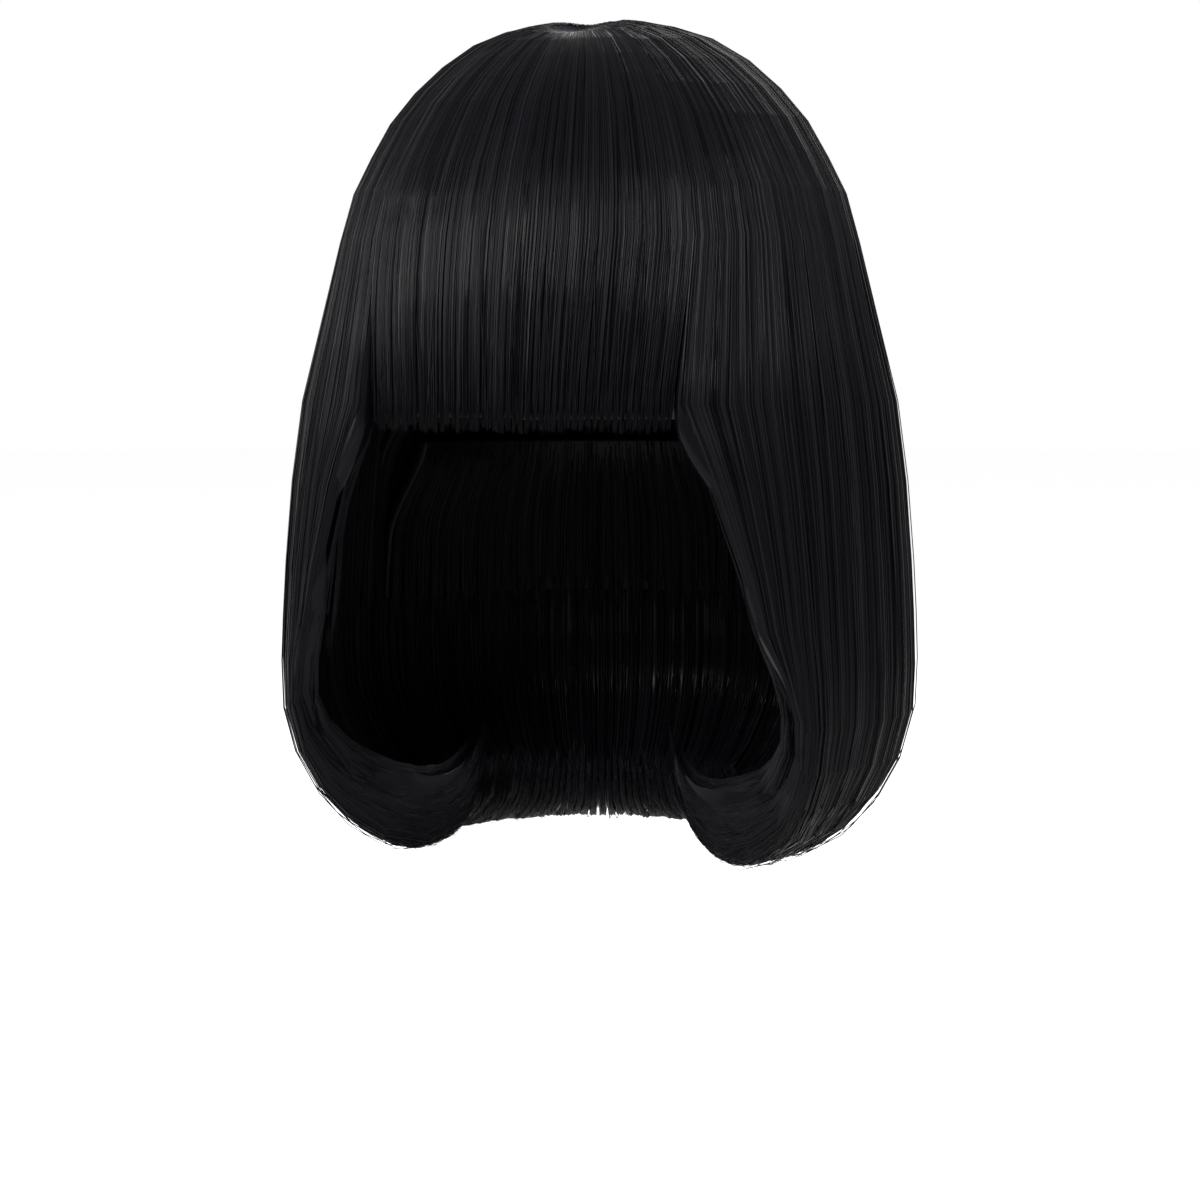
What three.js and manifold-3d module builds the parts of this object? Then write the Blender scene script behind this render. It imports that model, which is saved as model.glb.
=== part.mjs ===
// Costume wig: a blunt-fringed bob with inward-curled ends on a machine-made stretch cap.
// Millimetres, +Z up, face towards -Y, wearer's left towards +X.
// The origin is where the top of the head meets the inside of the cap.
import * as THREE from 'three';
import { mergeVertices } from 'three/addons/utils/BufferGeometryUtils.js';
import Module from 'manifold-3d';

const wasm = await Module();
wasm.setup();

// ---------------------------------------------------------------- driving dimensions

// Cap: an egg-shaped dome, widest level with the top of the ears.
const CAP_HALF_WIDTH = 76;
const CAP_HALF_DEPTH = 88;
const CAP_CROWN_HEIGHT = 85; // top of the head down to the widest level
const CAP_NAPE_HEIGHT = 130; // semi-height of the part that draws in below it
const CAP_FLOOR = -175; // the dome is worked out down to here and cut above it

// Thicknesses of what is stacked on the head, from the inside out.
const RIBBON = 1.2;
const NET = 0.8;
const TRACK = 1.8;
const GAP = 0.3; // between pieces that are sewn together
const ROOT_GAP = 0.6; // between locks of hair that move apart

// Hairline, as heights below the top of the head and distances from the ear-to-ear plane.
const FOREHEAD_Z = -62;
const TEMPLE_Y = -46;
const TEMPLE_Z = -78;
const EAR_Y = -16;
const EAR_Z = -84;
const NAPE_Y = 48;
const NAPE_Z = -150;
const FRONT_BAND_WIDTH = 18;
const SIDE_BAND_WIDTH = 13;
const NAPE_BAND_WIDTH = 12;
const TAPE_WIDTH = 12;
const TAPE_TOP_Z = -24;
const SIDE_TAPE_RISE = 16; // low end of the side tape, above the ear
const BACK_TAPE_ANGLE = 38; // degrees either side of the centre back

// Skin patch in the crown, where the hair is parted in a whorl.
const WHORL_Y = -29;
const PATCH_HALF_WIDTH = 24;
const PATCH_HALF_DEPTH = 28;
const WHORL_RADIUS = 8;
const CROWN_TRACK_RADIUS = 36;

// Rows of weft sewn round the sides and back.
const TRACK_HEIGHT = 4;
const TRACK_ROWS = 6;
const FIRST_ROW_Z = -44;
const ROW_PITCH = 17;
const ROW_FRONT_Y = -40;
const ROW_EDGE_MARGIN = 5;
const FRINGE_TRACK_Z = -54;
const FRINGE_TRACK_HALF_WIDTH = 54;

// Ear tab: a flat fabric tongue in front of each ear.
const EAR_TAB_Y = -31;
const EAR_TAB_WIDTH = 22;
const EAR_TAB_HEIGHT = 36;
const EAR_TAB_THICKNESS = 1.6;
const EAR_TAB_ROUNDING = 0.8; // share of the tab's half width that each low corner is rounded over

// Nape adjusters: an elastic strap with a hook each side, and a tape of loops.
const ADJUSTER_ANGLE = 25; // degrees either side of the centre back
const ADJUSTER_DROP = 6; // below the top edge of the nape band
const ADJUSTER_HEIGHT = 6;
const LOOP_TAPE_LENGTH = 16;
const LOOP_TAPE_THICKNESS = 1.2;
const LOOP_COUNT = 3;
const LOOP_PITCH = 5;
const LOOP_WIDTH = 1.5;
const LOOP_RISE = 1.2;
const HOOK_LENGTH = 10;
const HOOK_DEPTH = 2.4;
const HOOK_WALL = 0.9;
const STRAP_LENGTH = 12;
const STRAP_THICKNESS = 1;

// Hair.
const HAIR_DROP = 323; // top of the head to the lowest curl
const CROWN_RISE = 10; // highest hair above the top of the head
const WHORL_DIP = 3; // how far the crown sinks towards its middle
const HINGE_Z = -75; // where the hanging hair leaves the crown
const FRINGE_DROP = 150; // top of the head to the cut edge of the fringe
const FRINGE_SHARE = 0.84; // fringe's half width, as a share of the cap's
const CURTAIN = 8.5; // thickness of the outer hair where it leaves the crown
const CURL_THICKNESS = 17; // the same at the bottom of the curl
const TIP_THICKNESS = 7; // and at the curl's tips
const SIDE_ROOM = 15; // air between cap and outer hair at the sides, at the hinge height
const BACK_ROOM = 1; // and at the front and back
const UNDER_THICKNESS = 8;
const SIDE_UNDER_TOP_Z = -104;
const BACK_UNDER_TOP_Z = -128;
const NAPE_HAIR_TOP_Z = -154;
const CURL_RISE = 78; // the curl starts this far above its lowest point
const UNDER_SET_BACK = 6; // degrees from the side hair's front edge to its under layer
const FACE_EDGE_ANGLE = 40; // degrees from straight ahead to the side hair's front edge
const TEMPLE_ANGLE = 66; // front lock ends and side hair starts
const BACK_SPLIT_Y = 25; // side hair ends and back hair starts
const BACK_CENTRE_ANGLE = 146; // back locks meet the centre back lock
const BLANK_START_ANGLE = 1; // side blanks are cut generously at both ends, and trimmed to fit
const BLANK_END_ANGLE = 140;
const BACK_BLANK_START_ANGLE = 60;

// Mesh fineness.
const TURNS = 32;
const DOME_STEPS = 8;
const NAPE_STEPS = 4;
const CROWN_STEPS = 7;
const HAIR_STEPS = 26; // over the whole outline, from crown to tip
const TAB_CORNER_STEPS = 5;
const HALVINGS = 40; // of an interval, to find a place on the outline
const MERGE_WITHIN = 1e-4;
const BEYOND = 400; // half-size of cutting blocks, past everything

// ---------------------------------------------------------------- looks

const LOOKS = {
  hair: { color: 0x15151a, roughness: 0.38, metalness: 0 },
  underHair: { color: 0x101013, roughness: 0.5, metalness: 0 },
  net: { color: 0x1b1a1d, roughness: 0.8, metalness: 0 },
  ribbon: { color: 0x131316, roughness: 0.7, metalness: 0 },
  elastic: { color: 0x17171a, roughness: 0.85, metalness: 0 },
  track: { color: 0x0f0f12, roughness: 0.75, metalness: 0 },
  skin: { color: 0x74716c, roughness: 0.55, metalness: 0 },
  plastic: { color: 0x121214, roughness: 0.35, metalness: 0 },
};

// ---------------------------------------------------------------- solids

/** A manifold solid from a closed three.js geometry. */
function solidOf(geometry) {
  geometry.deleteAttribute('normal');
  geometry.deleteAttribute('uv');
  const merged = mergeVertices(geometry, MERGE_WITHIN);
  return new wasm.Manifold(
    new wasm.Mesh({
      numProp: 3,
      vertProperties: new Float32Array(merged.attributes.position.array),
      triVerts: new Uint32Array(merged.index.array),
    }),
  );
}

/** A profile of [radius, z] pairs turned about Z, with unit radii stretched to the two half sizes. */
function turned(profile, halfWidth, halfDepth) {
  const points = profile.map(([radius, z]) => new THREE.Vector2(radius, z));
  const geometry = new THREE.LatheGeometry(points, TURNS);
  geometry.rotateX(Math.PI / 2);
  geometry.scale(halfWidth, halfDepth, 1);
  return solidOf(geometry);
}

/** A flat outline in X and Y, raised from one height to another. */
function upright(outline, lowZ, highZ) {
  const shape = new THREE.Shape(outline.map(([x, y]) => new THREE.Vector2(x, y)));
  const geometry = new THREE.ExtrudeGeometry(shape, { depth: highZ - lowZ, bevelEnabled: false });
  geometry.translate(0, 0, lowZ);
  return solidOf(geometry);
}

/** A side-view outline in Y and Z, run right across the head along X. */
function across(outline, lowX = -BEYOND, highX = BEYOND) {
  const shape = new THREE.Shape(outline.map(([y, z]) => new THREE.Vector2(y, z)));
  const geometry = new THREE.ExtrudeGeometry(shape, { depth: highX - lowX, bevelEnabled: false });
  geometry.translate(0, 0, lowX);
  const turn = new THREE.Matrix4().makeBasis(
    new THREE.Vector3(0, 1, 0),
    new THREE.Vector3(0, 0, 1),
    new THREE.Vector3(1, 0, 0),
  );
  return solidOf(geometry.applyMatrix4(turn));
}

/** An upright oval post through the crown. */
function oval(halfWidth, halfDepth, y) {
  const geometry = new THREE.CylinderGeometry(1, 1, 2 * BEYOND, TURNS);
  geometry.rotateX(Math.PI / 2);
  geometry.scale(halfWidth, halfDepth, 1);
  geometry.translate(0, y, 0);
  return solidOf(geometry);
}

/** A block between two corners. */
function block([x0, y0, z0], [x1, y1, z1]) {
  const geometry = new THREE.BoxGeometry(x1 - x0, y1 - y0, z1 - z0);
  geometry.translate((x0 + x1) / 2, (y0 + y1) / 2, (z0 + z1) / 2);
  return solidOf(geometry);
}

/** Everything between two heights. */
function slab(lowZ, highZ) {
  return block([-BEYOND, -BEYOND, lowZ], [BEYOND, BEYOND, highZ]);
}

/** A named mesh from a solid. */
function mesh(name, solid, look) {
  const { numProp, vertProperties, triVerts } = solid.getMesh();
  const position = new Float32Array((vertProperties.length / numProp) * 3);
  for (let i = 0; i < position.length / 3; i++) {
    position.set(vertProperties.subarray(i * numProp, i * numProp + 3), i * 3);
  }
  const geometry = new THREE.BufferGeometry();
  geometry.setAttribute('position', new THREE.BufferAttribute(position, 3));
  geometry.setIndex(new THREE.BufferAttribute(triVerts, 1));
  geometry.computeVertexNormals();
  const made = new THREE.Mesh(geometry, new THREE.MeshStandardMaterial(LOOKS[look]));
  made.name = name;
  return made;
}

const radians = THREE.MathUtils.degToRad;
const SIDES = [
  ['left', 1],
  ['right', -1],
];
const NET_PANELS = [
  ['front', -45, 45],
  ['left', 45, 135],
  ['back_left', 135, 180],
  ['back_right', 180, 225],
  ['right', 225, 315],
];

// ---------------------------------------------------------------- cap

const netInside = RIBBON + GAP;
const netOutside = netInside + NET;
const trackInside = netOutside + GAP;
const trackOutside = trackInside + TRACK;
const hairInside = trackOutside + GAP;

/** How wide the dome is at a height, as a share of its half width. */
function domeShare(z) {
  const semiHeight = z > -CAP_CROWN_HEIGHT ? CAP_CROWN_HEIGHT : CAP_NAPE_HEIGHT;
  return Math.sqrt(Math.max(0, 1 - ((z + CAP_CROWN_HEIGHT) / semiHeight) ** 2));
}

/** The head-shaped solid that lies a given distance outside the inside of the cap. */
function dome(outset) {
  const profile = [[0, CAP_FLOOR]];
  for (let i = 0; i <= NAPE_STEPS; i++) {
    const z = THREE.MathUtils.lerp(CAP_FLOOR, -CAP_CROWN_HEIGHT, i / NAPE_STEPS);
    profile.push([domeShare(z), z]);
  }
  for (let i = 1; i < DOME_STEPS; i++) {
    const angle = ((i / DOME_STEPS) * Math.PI) / 2;
    const height = (CAP_CROWN_HEIGHT + outset) * Math.sin(angle);
    profile.push([Math.cos(angle), height - CAP_CROWN_HEIGHT]);
  }
  profile.push([0, outset]);
  return turned(profile, CAP_HALF_WIDTH + outset, CAP_HALF_DEPTH + outset);
}

/** A skin of the dome between two distances from its inside. */
function domeSkin(inside, outside) {
  return dome(outside).subtract(dome(inside));
}

const ribbonSkin = domeSkin(0, RIBBON);
const netSkin = domeSkin(netInside, netOutside);
const trackSkin = domeSkin(trackInside, trackOutside);

/** Y of the cap's lower edge behind the ear, at a height. */
function edgeY(z) {
  return THREE.MathUtils.mapLinear(z, EAR_Z, NAPE_Z, EAR_Y, NAPE_Y);
}

/** Stretch net over the whole head down to the hairline, in five panels round the skin patch. */
function capNet() {
  const outline = [
    [-BEYOND, BEYOND],
    [BEYOND, BEYOND],
    [BEYOND, NAPE_Z],
    [NAPE_Y, NAPE_Z],
    [EAR_Y, EAR_Z],
    [TEMPLE_Y, TEMPLE_Z],
    [TEMPLE_Y, FOREHEAD_Z],
    [-BEYOND, FOREHEAD_Z],
  ];
  const hole = oval(PATCH_HALF_WIDTH + GAP, PATCH_HALF_DEPTH + GAP, WHORL_Y);
  const net = netSkin.intersect(across(outline)).subtract(hole);
  return NET_PANELS.map(([side, fromAngle, toAngle]) =>
    mesh(`cap_net_${side}`, net.intersect(wedge(fromAngle, toAngle, GAP, WHORL_Y)), 'net'),
  );
}

/** Thin skin-coloured patch that the whorl is tied into. */
function crownPatch() {
  const patch = domeSkin(RIBBON / 2, netOutside);
  const post = oval(PATCH_HALF_WIDTH, PATCH_HALF_DEPTH, WHORL_Y);
  return mesh('crown_patch', patch.intersect(post).intersect(slab(-CAP_CROWN_HEIGHT, BEYOND)), 'skin');
}

/** Ribbon across the forehead, from temple to temple. */
function frontBand() {
  const outline = [
    [-BEYOND, FOREHEAD_Z],
    [TEMPLE_Y, FOREHEAD_Z],
    [TEMPLE_Y, FOREHEAD_Z + FRONT_BAND_WIDTH],
    [-BEYOND, FOREHEAD_Z + FRONT_BAND_WIDTH],
  ];
  return mesh('front_band', ribbonSkin.intersect(across(outline)), 'ribbon');
}

/** Ribbon over the ear and down to the nape, on one side. */
function sideBand([side, sign]) {
  const outline = [
    [TEMPLE_Y + GAP, TEMPLE_Z],
    [EAR_Y, EAR_Z],
    [NAPE_Y, NAPE_Z],
    [NAPE_Y, NAPE_Z + SIDE_BAND_WIDTH * Math.SQRT2],
    [EAR_Y, EAR_Z + SIDE_BAND_WIDTH * Math.SQRT2],
    [TEMPLE_Y + GAP, TEMPLE_Z + SIDE_BAND_WIDTH],
  ];
  const half = sign > 0 ? across(outline, 0) : across(outline, -BEYOND, 0);
  return mesh(`side_band_${side}`, ribbonSkin.intersect(half), 'ribbon');
}

/** Elastic along the nape. */
function napeBand() {
  const outline = [
    [NAPE_Y + GAP, NAPE_Z],
    [BEYOND, NAPE_Z],
    [BEYOND, NAPE_Z + NAPE_BAND_WIDTH],
    [NAPE_Y + GAP, NAPE_Z + NAPE_BAND_WIDTH],
  ];
  return mesh('nape_band', ribbonSkin.intersect(across(outline)), 'elastic');
}

/** Upright elastic tape that the wefts are sewn to, at an angle from the centre back. */
function tape(name, angle, lowZ) {
  const blank = new THREE.BoxGeometry(TAPE_WIDTH, BEYOND, TAPE_TOP_Z - lowZ);
  blank.translate(0, (BEYOND + TAPE_WIDTH) / 2, (TAPE_TOP_Z + lowZ) / 2);
  blank.rotateZ(-radians(angle));
  return mesh(name, ribbonSkin.intersect(solidOf(blank)), 'elastic');
}

/** Flat tongue of fabric in front of the ear, set square to the side of the head. */
function earTab([side, sign]) {
  const share = EAR_TAB_Y / CAP_HALF_DEPTH;
  const x = CAP_HALF_WIDTH * Math.sqrt(1 - share ** 2);
  const half = EAR_TAB_WIDTH / 2;
  const corner = half * EAR_TAB_ROUNDING;
  const outline = new THREE.Shape();
  outline.moveTo(-half, 0);
  outline.lineTo(-half, corner - EAR_TAB_HEIGHT);
  outline.quadraticCurveTo(-half, -EAR_TAB_HEIGHT, corner - half, -EAR_TAB_HEIGHT);
  outline.lineTo(half - corner, -EAR_TAB_HEIGHT);
  outline.quadraticCurveTo(half, -EAR_TAB_HEIGHT, half, corner - EAR_TAB_HEIGHT);
  outline.lineTo(half, 0);
  const geometry = new THREE.ExtrudeGeometry(outline, {
    depth: EAR_TAB_THICKNESS,
    bevelEnabled: false,
    curveSegments: TAB_CORNER_STEPS,
  });
  geometry.rotateX(Math.PI / 2);
  const tab = mesh(`ear_tab_${side}`, solidOf(geometry), 'ribbon');
  const lean = Math.atan2(x / CAP_HALF_WIDTH ** 2, -EAR_TAB_Y / CAP_HALF_DEPTH ** 2);
  tab.position.set(sign * x, EAR_TAB_Y, Math.min(TEMPLE_Z, EAR_Z) - GAP);
  tab.rotation.z = sign * lean;
  return tab;
}

// ---------------------------------------------------------------- wefts

/** A row of weft: a stitched track of hair roots round the sides and back. */
function trackRow(index) {
  const highZ = FIRST_ROW_Z - index * ROW_PITCH;
  const lowZ = highZ - TRACK_HEIGHT;
  const startY = highZ > EAR_Z + TRACK_HEIGHT ? ROW_FRONT_Y : edgeY(lowZ) + ROW_EDGE_MARGIN;
  const run = block([-BEYOND, startY, lowZ], [BEYOND, BEYOND, highZ]);
  return mesh(`weft_track_${index + 1}`, trackSkin.intersect(run), 'track');
}

/** The track that the fringe is sewn on. */
function fringeTrack() {
  const half = FRINGE_TRACK_HALF_WIDTH;
  const run = block([-half, -BEYOND, FRINGE_TRACK_Z - TRACK_HEIGHT], [half, 0, FRINGE_TRACK_Z]);
  return mesh('weft_track_fringe', trackSkin.intersect(run), 'track');
}

/** The track that rings the skin patch. */
function crownTrack() {
  const outer = CROWN_TRACK_RADIUS + TRACK_HEIGHT / 2;
  const inner = CROWN_TRACK_RADIUS - TRACK_HEIGHT / 2;
  const ring = oval(outer, outer, WHORL_Y).subtract(oval(inner, inner, WHORL_Y));
  const top = slab(-CAP_CROWN_HEIGHT, BEYOND);
  return mesh('weft_track_crown', trackSkin.intersect(ring).intersect(top), 'track');
}

// ---------------------------------------------------------------- nape adjusters

/** Loops, hook and strap of one adjuster. Each lies flat inside the nape band. */
function adjuster([side, sign]) {
  const z = NAPE_Z + NAPE_BAND_WIDTH - ADJUSTER_DROP;
  const share = domeShare(z);
  const angle = radians(ADJUSTER_ANGLE);
  const acrossNape = CAP_HALF_WIDTH * share;
  const backNape = CAP_HALF_DEPTH * share;
  const slope = Math.atan2(backNape * Math.sin(angle), acrossNape * Math.cos(angle));
  const group = new THREE.Group();
  group.position.set(sign * acrossNape * Math.sin(angle), backNape * Math.cos(angle), z);
  group.rotation.z = -sign * slope;

  const half = ADJUSTER_HEIGHT / 2;
  const part = (x0, x1, y0, y1) => {
    const [low, high] = sign > 0 ? [x0, x1] : [-x1, -x0];
    return block([low, y0, -half], [high, y1, half]);
  };

  // Along local X away from the centre back, and local Y out of the head. The straight
  // loop tape is set in far enough to clear the curved, tapering and faceted nape.
  const roundness = Math.min(acrossNape, backNape) ** 2 / Math.max(acrossNape, backNape);
  const bulge = (LOOP_TAPE_LENGTH + ROOT_GAP) ** 2 / (2 * roundness);
  const taper = CAP_HALF_DEPTH * (share - domeShare(z - half));
  const facet = backNape * (1 - Math.cos(Math.PI / TURNS));
  const tapeOut = -(bulge + taper + facet + ROOT_GAP);
  const tapeIn = tapeOut - LOOP_TAPE_THICKNESS;
  let loops = part(-LOOP_TAPE_LENGTH - ROOT_GAP, -ROOT_GAP, tapeIn, tapeOut);
  for (let i = 0; i < LOOP_COUNT; i++) {
    const x = -LOOP_WIDTH - ROOT_GAP - i * LOOP_PITCH;
    loops = loops.add(part(x - LOOP_WIDTH, x, tapeIn - LOOP_RISE, tapeIn + GAP));
  }
  const hookOut = tapeIn - LOOP_RISE - GAP;
  const hookIn = hookOut - HOOK_DEPTH;
  const hook = part(0, HOOK_LENGTH, hookIn, hookOut).subtract(
    part(HOOK_WALL, HOOK_LENGTH + HOOK_WALL, hookIn + HOOK_WALL, hookOut - HOOK_WALL),
  );
  const strap = part(HOOK_LENGTH + GAP, HOOK_LENGTH + GAP + STRAP_LENGTH, hookIn, hookIn + STRAP_THICKNESS);

  group.add(mesh(`loop_tape_${side}`, loops, 'elastic'));
  group.add(mesh(`adjuster_hook_${side}`, hook, 'plastic'));
  group.add(mesh(`adjuster_strap_${side}`, strap, 'elastic'));
  return group;
}

// ---------------------------------------------------------------- hair outline

// Outline from the crown's edge down the outside and round the curl to its tip, as
// shares of the widest half width. Dome heights are measured from the top of the
// head, and curl heights from the lowest curl.
const domeOutline = [
  [0.18, CROWN_RISE],
  [0.41, 0],
  [0.61, -22],
  [0.715, -43],
  [0.785, -62],
  [0.868, -105],
  [0.935, -140],
  [0.977, -186],
];
const curlOutline = [
  [1, CURL_RISE],
  [0.985, 52],
  [0.93, 34],
  [0.84, 17],
  [0.72, 5],
  [0.6, 0],
  [0.48, 5],
  [0.4, 18],
  [0.375, 36],
];
const outline = new THREE.SplineCurve(
  [...domeOutline, ...curlOutline.map(([share, rise]) => [share, rise - HAIR_DROP])].map(
    ([share, z]) => new THREE.Vector2(share, z),
  ),
);
const lowestPoint = domeOutline.length + curlOutline.findIndex(([, rise]) => rise === 0);
const outlineLowest = lowestPoint / (domeOutline.length + curlOutline.length - 1);

/** Position along the outline, from 0 at the crown to 1 at the tip, of a height on the way down. */
function outlineAt(z) {
  let low = 0;
  let high = outlineLowest;
  for (let i = 0; i < HALVINGS; i++) {
    const middle = (low + high) / 2;
    if (outline.getPoint(middle).y > z) low = middle;
    else high = middle;
  }
  return low;
}

// The hair's half sizes follow from what has to fit between it and the head at the hinge height.
const hingeShare = outline.getPoint(outlineAt(HINGE_Z)).x;
const hairHalfWidth = (CAP_HALF_WIDTH + hairInside + CURTAIN + SIDE_ROOM) / hingeShare;
const hairHalfDepth = (CAP_HALF_DEPTH + hairInside + CURTAIN + BACK_ROOM) / hingeShare;
const meanHalf = (hairHalfWidth + hairHalfDepth) / 2;
const fringeHalfWidth = CAP_HALF_WIDTH * FRINGE_SHARE;

/** A point inside the outline by a distance in millimetres, measured square to it. */
function insetPoint(at, distance) {
  const point = outline.getPoint(at);
  const tangent = outline.getTangent(at);
  const run = new THREE.Vector2(tangent.x * meanHalf, tangent.y).normalize();
  return [point.x + (run.y * distance) / meanHalf, point.y - run.x * distance];
}

/**
 * A sheet of hair all round the head, between two insets that can change along it.
 * Every sheet bends at the same places, so that one lies evenly on the next.
 */
function hairRing(from, to, outerInset, innerInset) {
  const places = [from];
  for (let i = 1; i < HAIR_STEPS; i++) {
    const at = i / HAIR_STEPS;
    if (at > from + MERGE_WITHIN && at < to - MERGE_WITHIN) places.push(at);
  }
  places.push(to);
  const outer = places.map((at) => insetPoint(at, outerInset(at)));
  const inner = places.map((at) => insetPoint(at, innerInset(at)));
  const profile = [...inner, ...outer.reverse(), inner[0]];
  return turned(profile, hairHalfWidth, hairHalfDepth);
}

/** Thickness of the outer hair: even down to the curl, then fuller, then thin at the tips. */
function curtainInset(at) {
  const fuller = THREE.MathUtils.smoothstep(at, outlineAt(CURL_RISE - HAIR_DROP), outlineLowest);
  const thinner = THREE.MathUtils.smoothstep(at, outlineLowest, 1);
  return CURTAIN + (CURL_THICKNESS - CURTAIN) * fuller + (TIP_THICKNESS - CURL_THICKNESS) * thinner;
}

/** A point far out at an angle from straight ahead. */
function farPoint(angle) {
  const a = radians(angle);
  return [2 * hairHalfWidth * Math.sin(a), -2 * hairHalfDepth * Math.cos(a)];
}

/** Upright wedge under 180 degrees wide, between two angles from straight ahead, half a gap inside them. */
function wedge(fromAngle, toAngle, gap = ROOT_GAP, apexY = 0) {
  const middle = (fromAngle + toAngle) / 2;
  const [x, y] = farPoint(middle);
  const setIn = gap / 2 / Math.sin(radians(Math.abs(toAngle - fromAngle)) / 2) / Math.hypot(x, y);
  const corners = [[0, 0], farPoint(fromAngle), [2 * x, 2 * y], farPoint(toAngle)];
  return upright(corners.map(([u, v]) => [u + x * setIn, v + y * setIn + apexY]), -BEYOND, BEYOND);
}

const curtainTop = outlineAt(HINGE_Z - ROOT_GAP);
const curtainRing = hairRing(curtainTop, 1, () => 0, curtainInset);

// ---------------------------------------------------------------- hair on the crown

/** All the hair above the hinge height, down to the wefts, less a small opening at the whorl. */
function crownMass() {
  const profile = [];
  const lowest = outlineAt(HINGE_Z - ROOT_GAP);
  for (let i = 0; i <= CROWN_STEPS; i++) {
    const point = outline.getPoint(lowest * (1 - i / CROWN_STEPS));
    profile.push([point.x, point.y]);
  }
  const top = [0, CROWN_RISE - WHORL_DIP];
  const bottom = [0, profile[0][1]];
  const whole = turned([bottom, ...profile, top], hairHalfWidth, hairHalfDepth);
  return whole
    .subtract(dome(hairInside))
    .subtract(oval(WHORL_RADIUS, WHORL_RADIUS, WHORL_Y))
    .intersect(slab(HINGE_Z, BEYOND));
}

/** The crown in four locks, parted from the whorl. */
function crownHair() {
  const mass = crownMass();
  const out = fringeHalfWidth + ROOT_GAP;
  const front = block([-fringeHalfWidth, -BEYOND, -BEYOND], [fringeHalfWidth, WHORL_Y, BEYOND]);
  const back = block([-BEYOND, BACK_SPLIT_Y + ROOT_GAP, -BEYOND], [BEYOND, BEYOND, BEYOND]);
  const made = [
    mesh('hair_crown_front', mass.intersect(front), 'hair'),
    mesh('hair_crown_back', mass.intersect(back), 'hair'),
  ];
  for (const [side, sign] of SIDES) {
    const area = [
      [ROOT_GAP, WHORL_Y + ROOT_GAP],
      [out, WHORL_Y + ROOT_GAP],
      [out, -BEYOND],
      [BEYOND, -BEYOND],
      [BEYOND, BACK_SPLIT_Y],
      [ROOT_GAP, BACK_SPLIT_Y],
    ].map(([x, y]) => [sign * x, y]);
    made.push(mesh(`hair_crown_${side}`, mass.intersect(upright(area, -BEYOND, BEYOND)), 'hair'));
  }
  return made;
}

// ---------------------------------------------------------------- hanging hair

/** Blunt fringe over the forehead. */
function fringe() {
  const half = fringeHalfWidth;
  const ring = hairRing(curtainTop, outlineAt(-FRINGE_DROP), () => 0, () => CURTAIN);
  const area = block([-half, -BEYOND, -BEYOND], [half, 0, BEYOND]);
  return mesh('hair_fringe', ring.intersect(area), 'hair');
}

/** Where side hair may be: clear of the fringe above its edge, and of the face below it. */
function sideArea(sign) {
  const far = farPoint(FACE_EDGE_ANGLE);
  const low = [
    [ROOT_GAP, 0],
    far,
    [BEYOND, far[1]],
    [BEYOND, BACK_SPLIT_Y],
    [ROOT_GAP, BACK_SPLIT_Y],
  ];
  const high = [
    [fringeHalfWidth + ROOT_GAP, -BEYOND],
    [BEYOND, -BEYOND],
    [BEYOND, BACK_SPLIT_Y],
    [fringeHalfWidth + ROOT_GAP, BACK_SPLIT_Y],
  ];
  const mirrored = (area) => area.map(([x, y]) => [sign * x, y]);
  return upright(mirrored(low), -BEYOND, -FRINGE_DROP).add(
    upright(mirrored(high), -FRINGE_DROP - GAP, BEYOND),
  );
}

/** Front lock, side lock and under layer of one side. */
function sideHair([side, sign]) {
  const area = sideArea(sign);
  const frontWedge = wedge(sign * BLANK_START_ANGLE, sign * TEMPLE_ANGLE);
  const rearWedge = wedge(sign * TEMPLE_ANGLE, sign * BLANK_END_ANGLE);
  const layer = CURTAIN + ROOT_GAP;
  const under = hairRing(
    outlineAt(SIDE_UNDER_TOP_Z),
    outlineAt(CURL_RISE - HAIR_DROP),
    () => layer,
    () => layer + UNDER_THICKNESS,
  );
  const curtain = curtainRing.intersect(area);
  const underArea = area.intersect(
    wedge(sign * (FACE_EDGE_ANGLE + UNDER_SET_BACK), sign * BLANK_END_ANGLE),
  );
  return [
    mesh(`hair_temple_${side}`, curtain.intersect(frontWedge), 'hair'),
    mesh(`hair_side_${side}`, curtain.intersect(rearWedge), 'hair'),
    mesh(`hair_side_under_${side}`, under.intersect(underArea), 'underHair'),
  ];
}

/** Three back locks, the under layer and the nape layer. */
function backHair() {
  const area = block([-BEYOND, BACK_SPLIT_Y + ROOT_GAP, -BEYOND], [BEYOND, BEYOND, BEYOND]);
  const locks = curtainRing.intersect(area);
  const centre = wedge(BACK_CENTRE_ANGLE, 360 - BACK_CENTRE_ANGLE);
  const layer = CURTAIN + ROOT_GAP;
  const underEnd = outlineAt(CURL_RISE - HAIR_DROP);
  const under = hairRing(
    outlineAt(BACK_UNDER_TOP_Z),
    underEnd,
    () => layer,
    () => layer + UNDER_THICKNESS,
  );
  const napeLayer = layer + UNDER_THICKNESS + ROOT_GAP;
  const nape = hairRing(
    outlineAt(NAPE_HAIR_TOP_Z),
    underEnd,
    () => napeLayer,
    () => napeLayer + UNDER_THICKNESS,
  );
  const made = [
    mesh('hair_back_centre', locks.intersect(centre), 'hair'),
    mesh('hair_back_under', under.intersect(area), 'underHair'),
    mesh('hair_nape', nape.intersect(area), 'underHair'),
  ];
  for (const [side, sign] of SIDES) {
    const corner = wedge(sign * BACK_BLANK_START_ANGLE, sign * BACK_CENTRE_ANGLE);
    made.push(mesh(`hair_back_${side}`, locks.intersect(corner), 'hair'));
  }
  return made;
}

// ---------------------------------------------------------------- assembly

const wig = new THREE.Group();
wig.name = 'costume_wig';

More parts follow.
